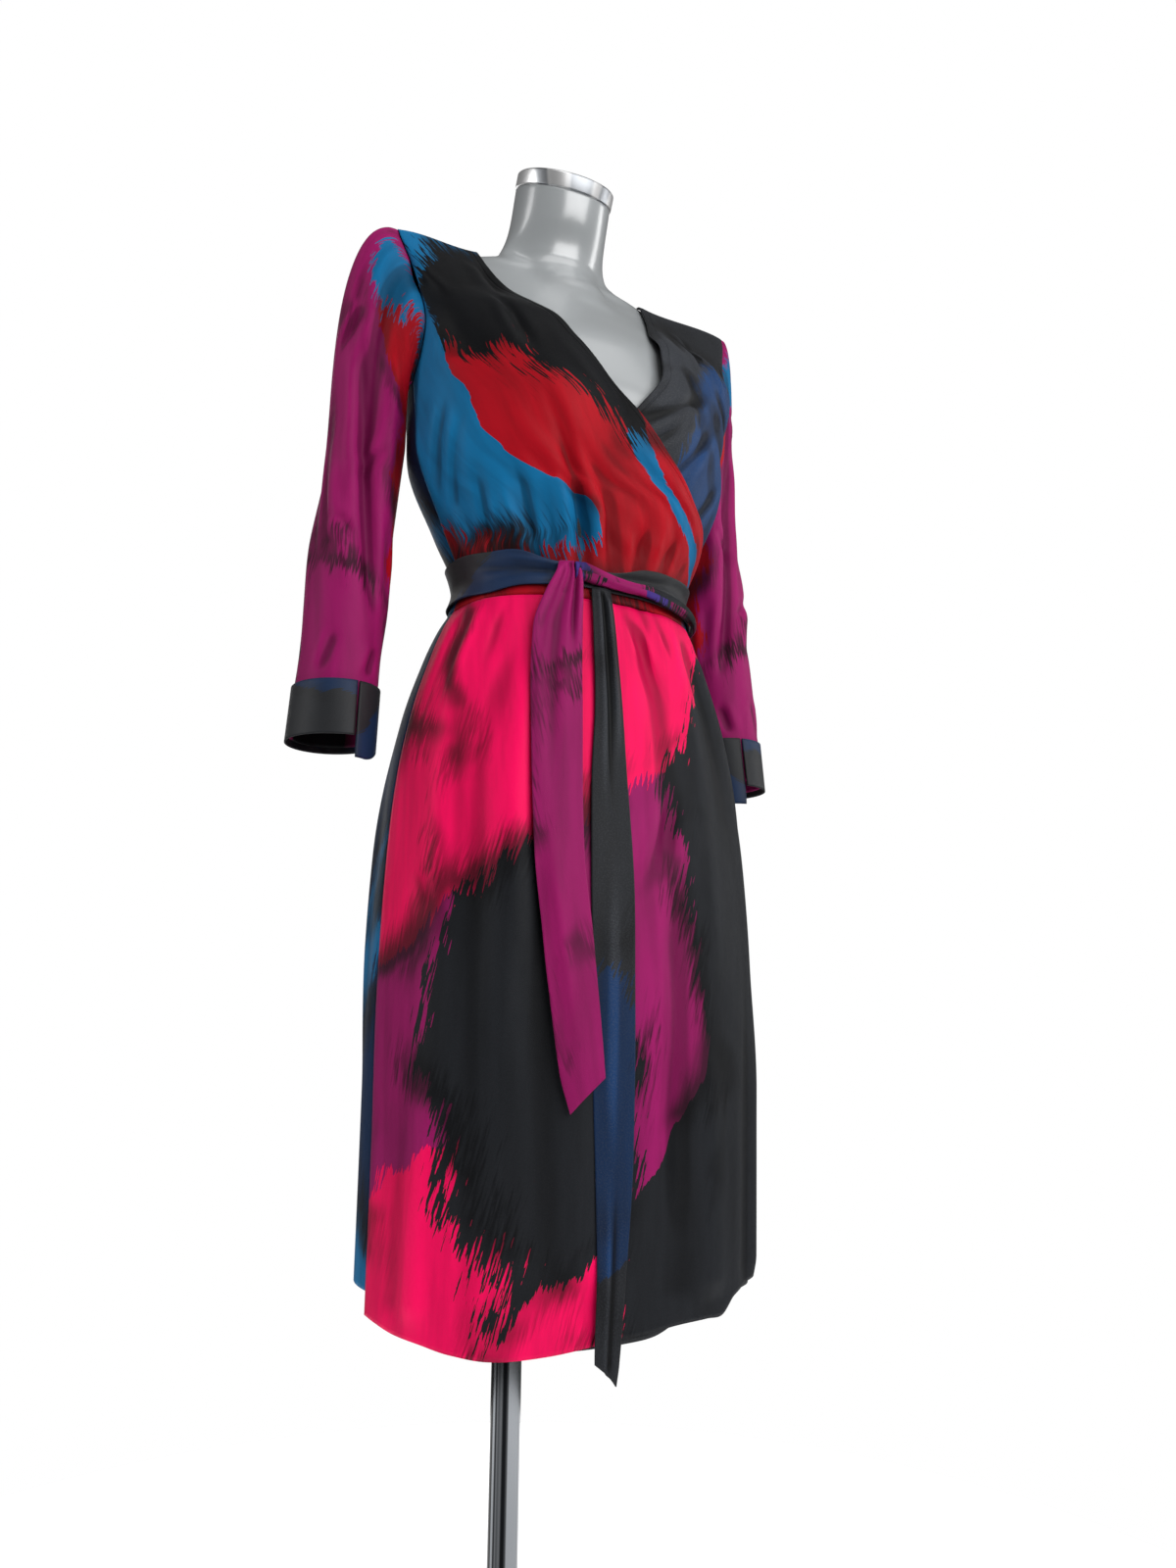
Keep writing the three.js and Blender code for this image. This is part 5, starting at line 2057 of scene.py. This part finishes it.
@dataclass
class DressForm:
    """The torso, its neck cap and the stand.

    Sizes are in mm and neck_tilt in degrees; neck_blend is the power by which the torso swells
    into the neck, and nape_trim what is taken off the nape, so that it runs into the back.
    """

    block: Block
    maker: Dressmaker
    neck_blend: float = 6.0
    neck_groove: float = 0.9
    nape_trim: float = 18.0
    neck_tilt: float = 24.0
    cap_height: float = 17.0
    cap_radius: float = 53.5
    pole_radius: float = 14.5
    base_radius: float = 180.0
    base_thickness: float = 8.0

    def __post_init__(self) -> None:
        """Reads the rings."""
        self.rows = {name: Profile(FORM, name) for name in FormRow._fields[1:]}

    def torso(self, s: Array, t: Array) -> Array:
        """Gives the torso, whose rings swell into the round neck.

        Args:
            s: Shares round it.
            t: Shares of the way up.

        Returns:
            Points in mm.
        """
        z = mix(FORM[0].z, FORM[-1].z, t)
        row = {name: profile(z) for name, profile in self.rows.items()}
        angle = 2 * np.pi * s
        east, north = np.sin(angle), -np.cos(angle)
        deep = np.where(north < 0, row["front"], row["back"])
        body = 1 / np.hypot(east / row["side"], north / deep)
        lean = row["lean"] * north
        neck = lean + np.sqrt(row["neck"] ** 2 - row["lean"] ** 2 + lean**2)
        reach = (body**self.neck_blend + neck**self.neck_blend) ** (1 / self.neck_blend)
        nape = self.nape_trim * bell(z - 384, 17) * np.maximum(0, north) ** 4
        reach = reach - self.neck_groove * bell(z - 389, 2.4) - nape
        tilt = np.radians(row["tilt"])
        x, y = east * reach, north * reach
        bust = np.where(y < 0, 0.8 * self.block.bust_rise(x, z) * (-y / reach), 0.0)
        return points(x, row["middle"] + y * np.cos(tilt) - bust, z + y * np.sin(tilt))

    def build(self) -> None:
        """Builds the torso, the cap and the stand."""
        self.maker.loft("form_torso", self.torso, 120, 220, Look.FORM_GLOSS)
        top = FORM[-1]
        neck = Vector((0.0, (top.middle - BODY_FORWARD) * MM, (top.z + WAIST_HEIGHT) * MM))
        slope = Matrix.Translation(neck) @ Matrix.Rotation(math.radians(self.neck_tilt), 4, "X")
        cap = (
            (self.cap_radius - 1, SEAM_GAP),
            (self.cap_radius, SEAM_GAP + 1),
            (self.cap_radius, self.cap_height - 1.5),
            (self.cap_radius - 1.5, self.cap_height),
        )
        self.maker.turned("neck_cap", cap, slope, Look.CHROME_CAP)
        bottom = WAIST_HEIGHT + FORM[0].z
        upright = Matrix.Identity(4)
        flange = ((21, bottom - 8), (25, bottom - 6), (25, bottom - SEAM_GAP))
        self.maker.turned("stand_flange", flange, upright, Look.CHROME_PLATE)
        pole = (
            (self.pole_radius, self.base_thickness + 22 + SEAM_GAP),
            (self.pole_radius, bottom - 8 - SEAM_GAP),
        )
        self.maker.turned("stand_pole", pole, upright, Look.CHROME_TUBE)
        collar = (
            (26, self.base_thickness + SEAM_GAP),
            (26, self.base_thickness + 14),
            (19, self.base_thickness + 22),
        )
        self.maker.turned("stand_collar", collar, upright, Look.CHROME_PLATE)
        base = (
            (self.base_radius - 2, 0.0),
            (self.base_radius, 2.0),
            (self.base_radius, self.base_thickness - 3),
            (self.base_radius - 4, self.base_thickness),
        )
        self.maker.turned("stand_base", base, upright, Look.CHROME_PLATE)


@dataclass(frozen=True)
class AreaLamp:
    """A soft box aimed at the dress."""

    name: str
    place: tuple[float, float, float]
    aim: tuple[float, float, float]
    size: tuple[float, float]
    power: float

    def build(self) -> None:
        """Puts the lamp in the scene."""
        data = bpy.data.lights.new(self.name, "AREA")
        data.shape = "RECTANGLE"
        data.size, data.size_y = self.size
        data.energy = self.power
        lamp = bpy.data.objects.new(self.name, data)
        lamp.location = self.place
        direction = Vector(self.aim) - Vector(self.place)
        lamp.rotation_euler = direction.to_track_quat("-Z", "Y").to_euler()
        bpy.context.scene.collection.objects.link(lamp)


@dataclass(frozen=True)
class PhotoCamera:
    """Where the photo was taken from: mm from the pole, degrees and mm of lens."""

    azimuth: float = -28.5
    distance: float = 1200.0
    height: float = 631.0
    rise: float = 11.1
    yaw: float = -1.2
    roll: float = 0.6
    lens: float = 28.55

    def build(self) -> None:
        """Puts the camera in the scene."""
        turn = math.radians(self.azimuth)
        place = Vector(
            (
                math.sin(turn) * self.distance,
                -BODY_FORWARD - math.cos(turn) * self.distance,
                self.height,
            )
        )
        heading = turn + math.radians(self.yaw)
        rise = math.radians(self.rise)
        forward = Vector(
            (
                -math.sin(heading) * math.cos(rise),
                math.cos(heading) * math.cos(rise),
                math.sin(rise),
            )
        )
        right = forward.cross(Vector((0, 0, 1))).normalized()
        up = right.cross(forward)
        roll = math.radians(self.roll)
        across = right * math.cos(roll) + up * math.sin(roll)
        above = up * math.cos(roll) - right * math.sin(roll)
        data = bpy.data.cameras.new("photo_camera")
        data.lens = self.lens
        camera = bpy.data.objects.new("photo_camera", data)
        camera.matrix_world = Matrix.Translation(place * MM) @ Matrix(
            (across, above, -forward)
        ).transposed().to_4x4()
        bpy.context.scene.collection.objects.link(camera)
        bpy.context.scene.camera = camera


class Studio:
    """A plain pale floor and soft light."""

    LAMPS = (
        AreaLamp("key", (0.4, -2.4, 1.8), (0.0, -0.1, 1.15), (2.4, 1.9), 52.0),
        AreaLamp("top", (0.15, -1.3, 3.2), (0.0, -0.1, 1.3), (2.2, 1.2), 14.0),
        AreaLamp("side", (2.3, -0.5, 1.5), (0.0, -0.1, 1.1), (0.5, 1.8), 12.0),
        AreaLamp("edge", (-2.3, 0.3, 1.5), (0.0, -0.1, 1.1), (0.6, 2.0), 18.0),
        AreaLamp("back", (0.5, 2.5, 1.9), (0.0, -0.1, 1.1), (2.2, 1.9), 17.0),
    )
    FLOOR = 0.9
    SHADE = 0.13  # of the sky where it lights the dress; the camera sees it white

    def build(self) -> None:
        """Puts the floor, the sky and the lamps in the scene."""
        bm = bmesh.new()
        bmesh.ops.create_circle(bm, cap_ends=True, segments=128, radius=self.FLOOR)
        mesh = bpy.data.meshes.new("floor")
        bm.to_mesh(mesh)
        bm.free()
        floor = bpy.data.objects.new("floor", mesh)
        bpy.context.scene.collection.objects.link(floor)
        shader = Shader("floor_paper")
        place = shader.places()
        paper = shader.blend(shader.noise(place, 3.0, 2.0), (0.92, 0.92, 0.92), (0.95,) * 3)
        reach = shader.node("ShaderNodeVectorMath", {"operation": "LENGTH"}, {0: place})
        # The floor glows: painted light, dimmer in its middle and white at its rim, where it meets
        # the white sky.
        fade = shader.step(shader.out(reach, "Value"), self.FLOOR * 0.3, self.FLOOR * 0.96)
        glow = shader.blend(fade, (0.62,) * 3, (1.0,) * 3)
        shader.fill(Base_Color=paper, Roughness=0.9)
        shader.fill(Emission_Color=glow, Emission_Strength=1.0)
        mesh.materials.append(shader.material)
        world = bpy.data.worlds.new("studio")
        world.use_nodes = True
        sky = world.node_tree.nodes["Background"]
        sky.inputs["Color"].default_value = (1.0, 1.0, 1.0, 1.0)
        seen = world.node_tree.nodes.new("ShaderNodeLightPath")
        level = world.node_tree.nodes.new("ShaderNodeMapRange")
        level.inputs["To Min"].default_value = self.SHADE
        world.node_tree.links.new(seen.outputs["Is Camera Ray"], level.inputs["Value"])
        world.node_tree.links.new(level.outputs[0], sky.inputs["Strength"])
        bpy.context.scene.world = world
        bpy.context.scene.view_settings.view_transform = "Standard"
        for lamp in self.LAMPS:
            lamp.build()


def main() -> None:
    """Builds the dress, its form and the studio."""
    logging.basicConfig(level=logging.INFO, format="%(message)s")
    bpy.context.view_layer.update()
    block = Block()
    maker = Dressmaker()
    DressForm(block, maker).build()
    Bodice(block, maker).build()
    Skirt(block, maker).build()
    Sleeves(block, maker).build()
    Belt(block, maker, Knot()).build()
    Studio().build()
    PhotoCamera().build()


if __name__ == "__main__":
    main()
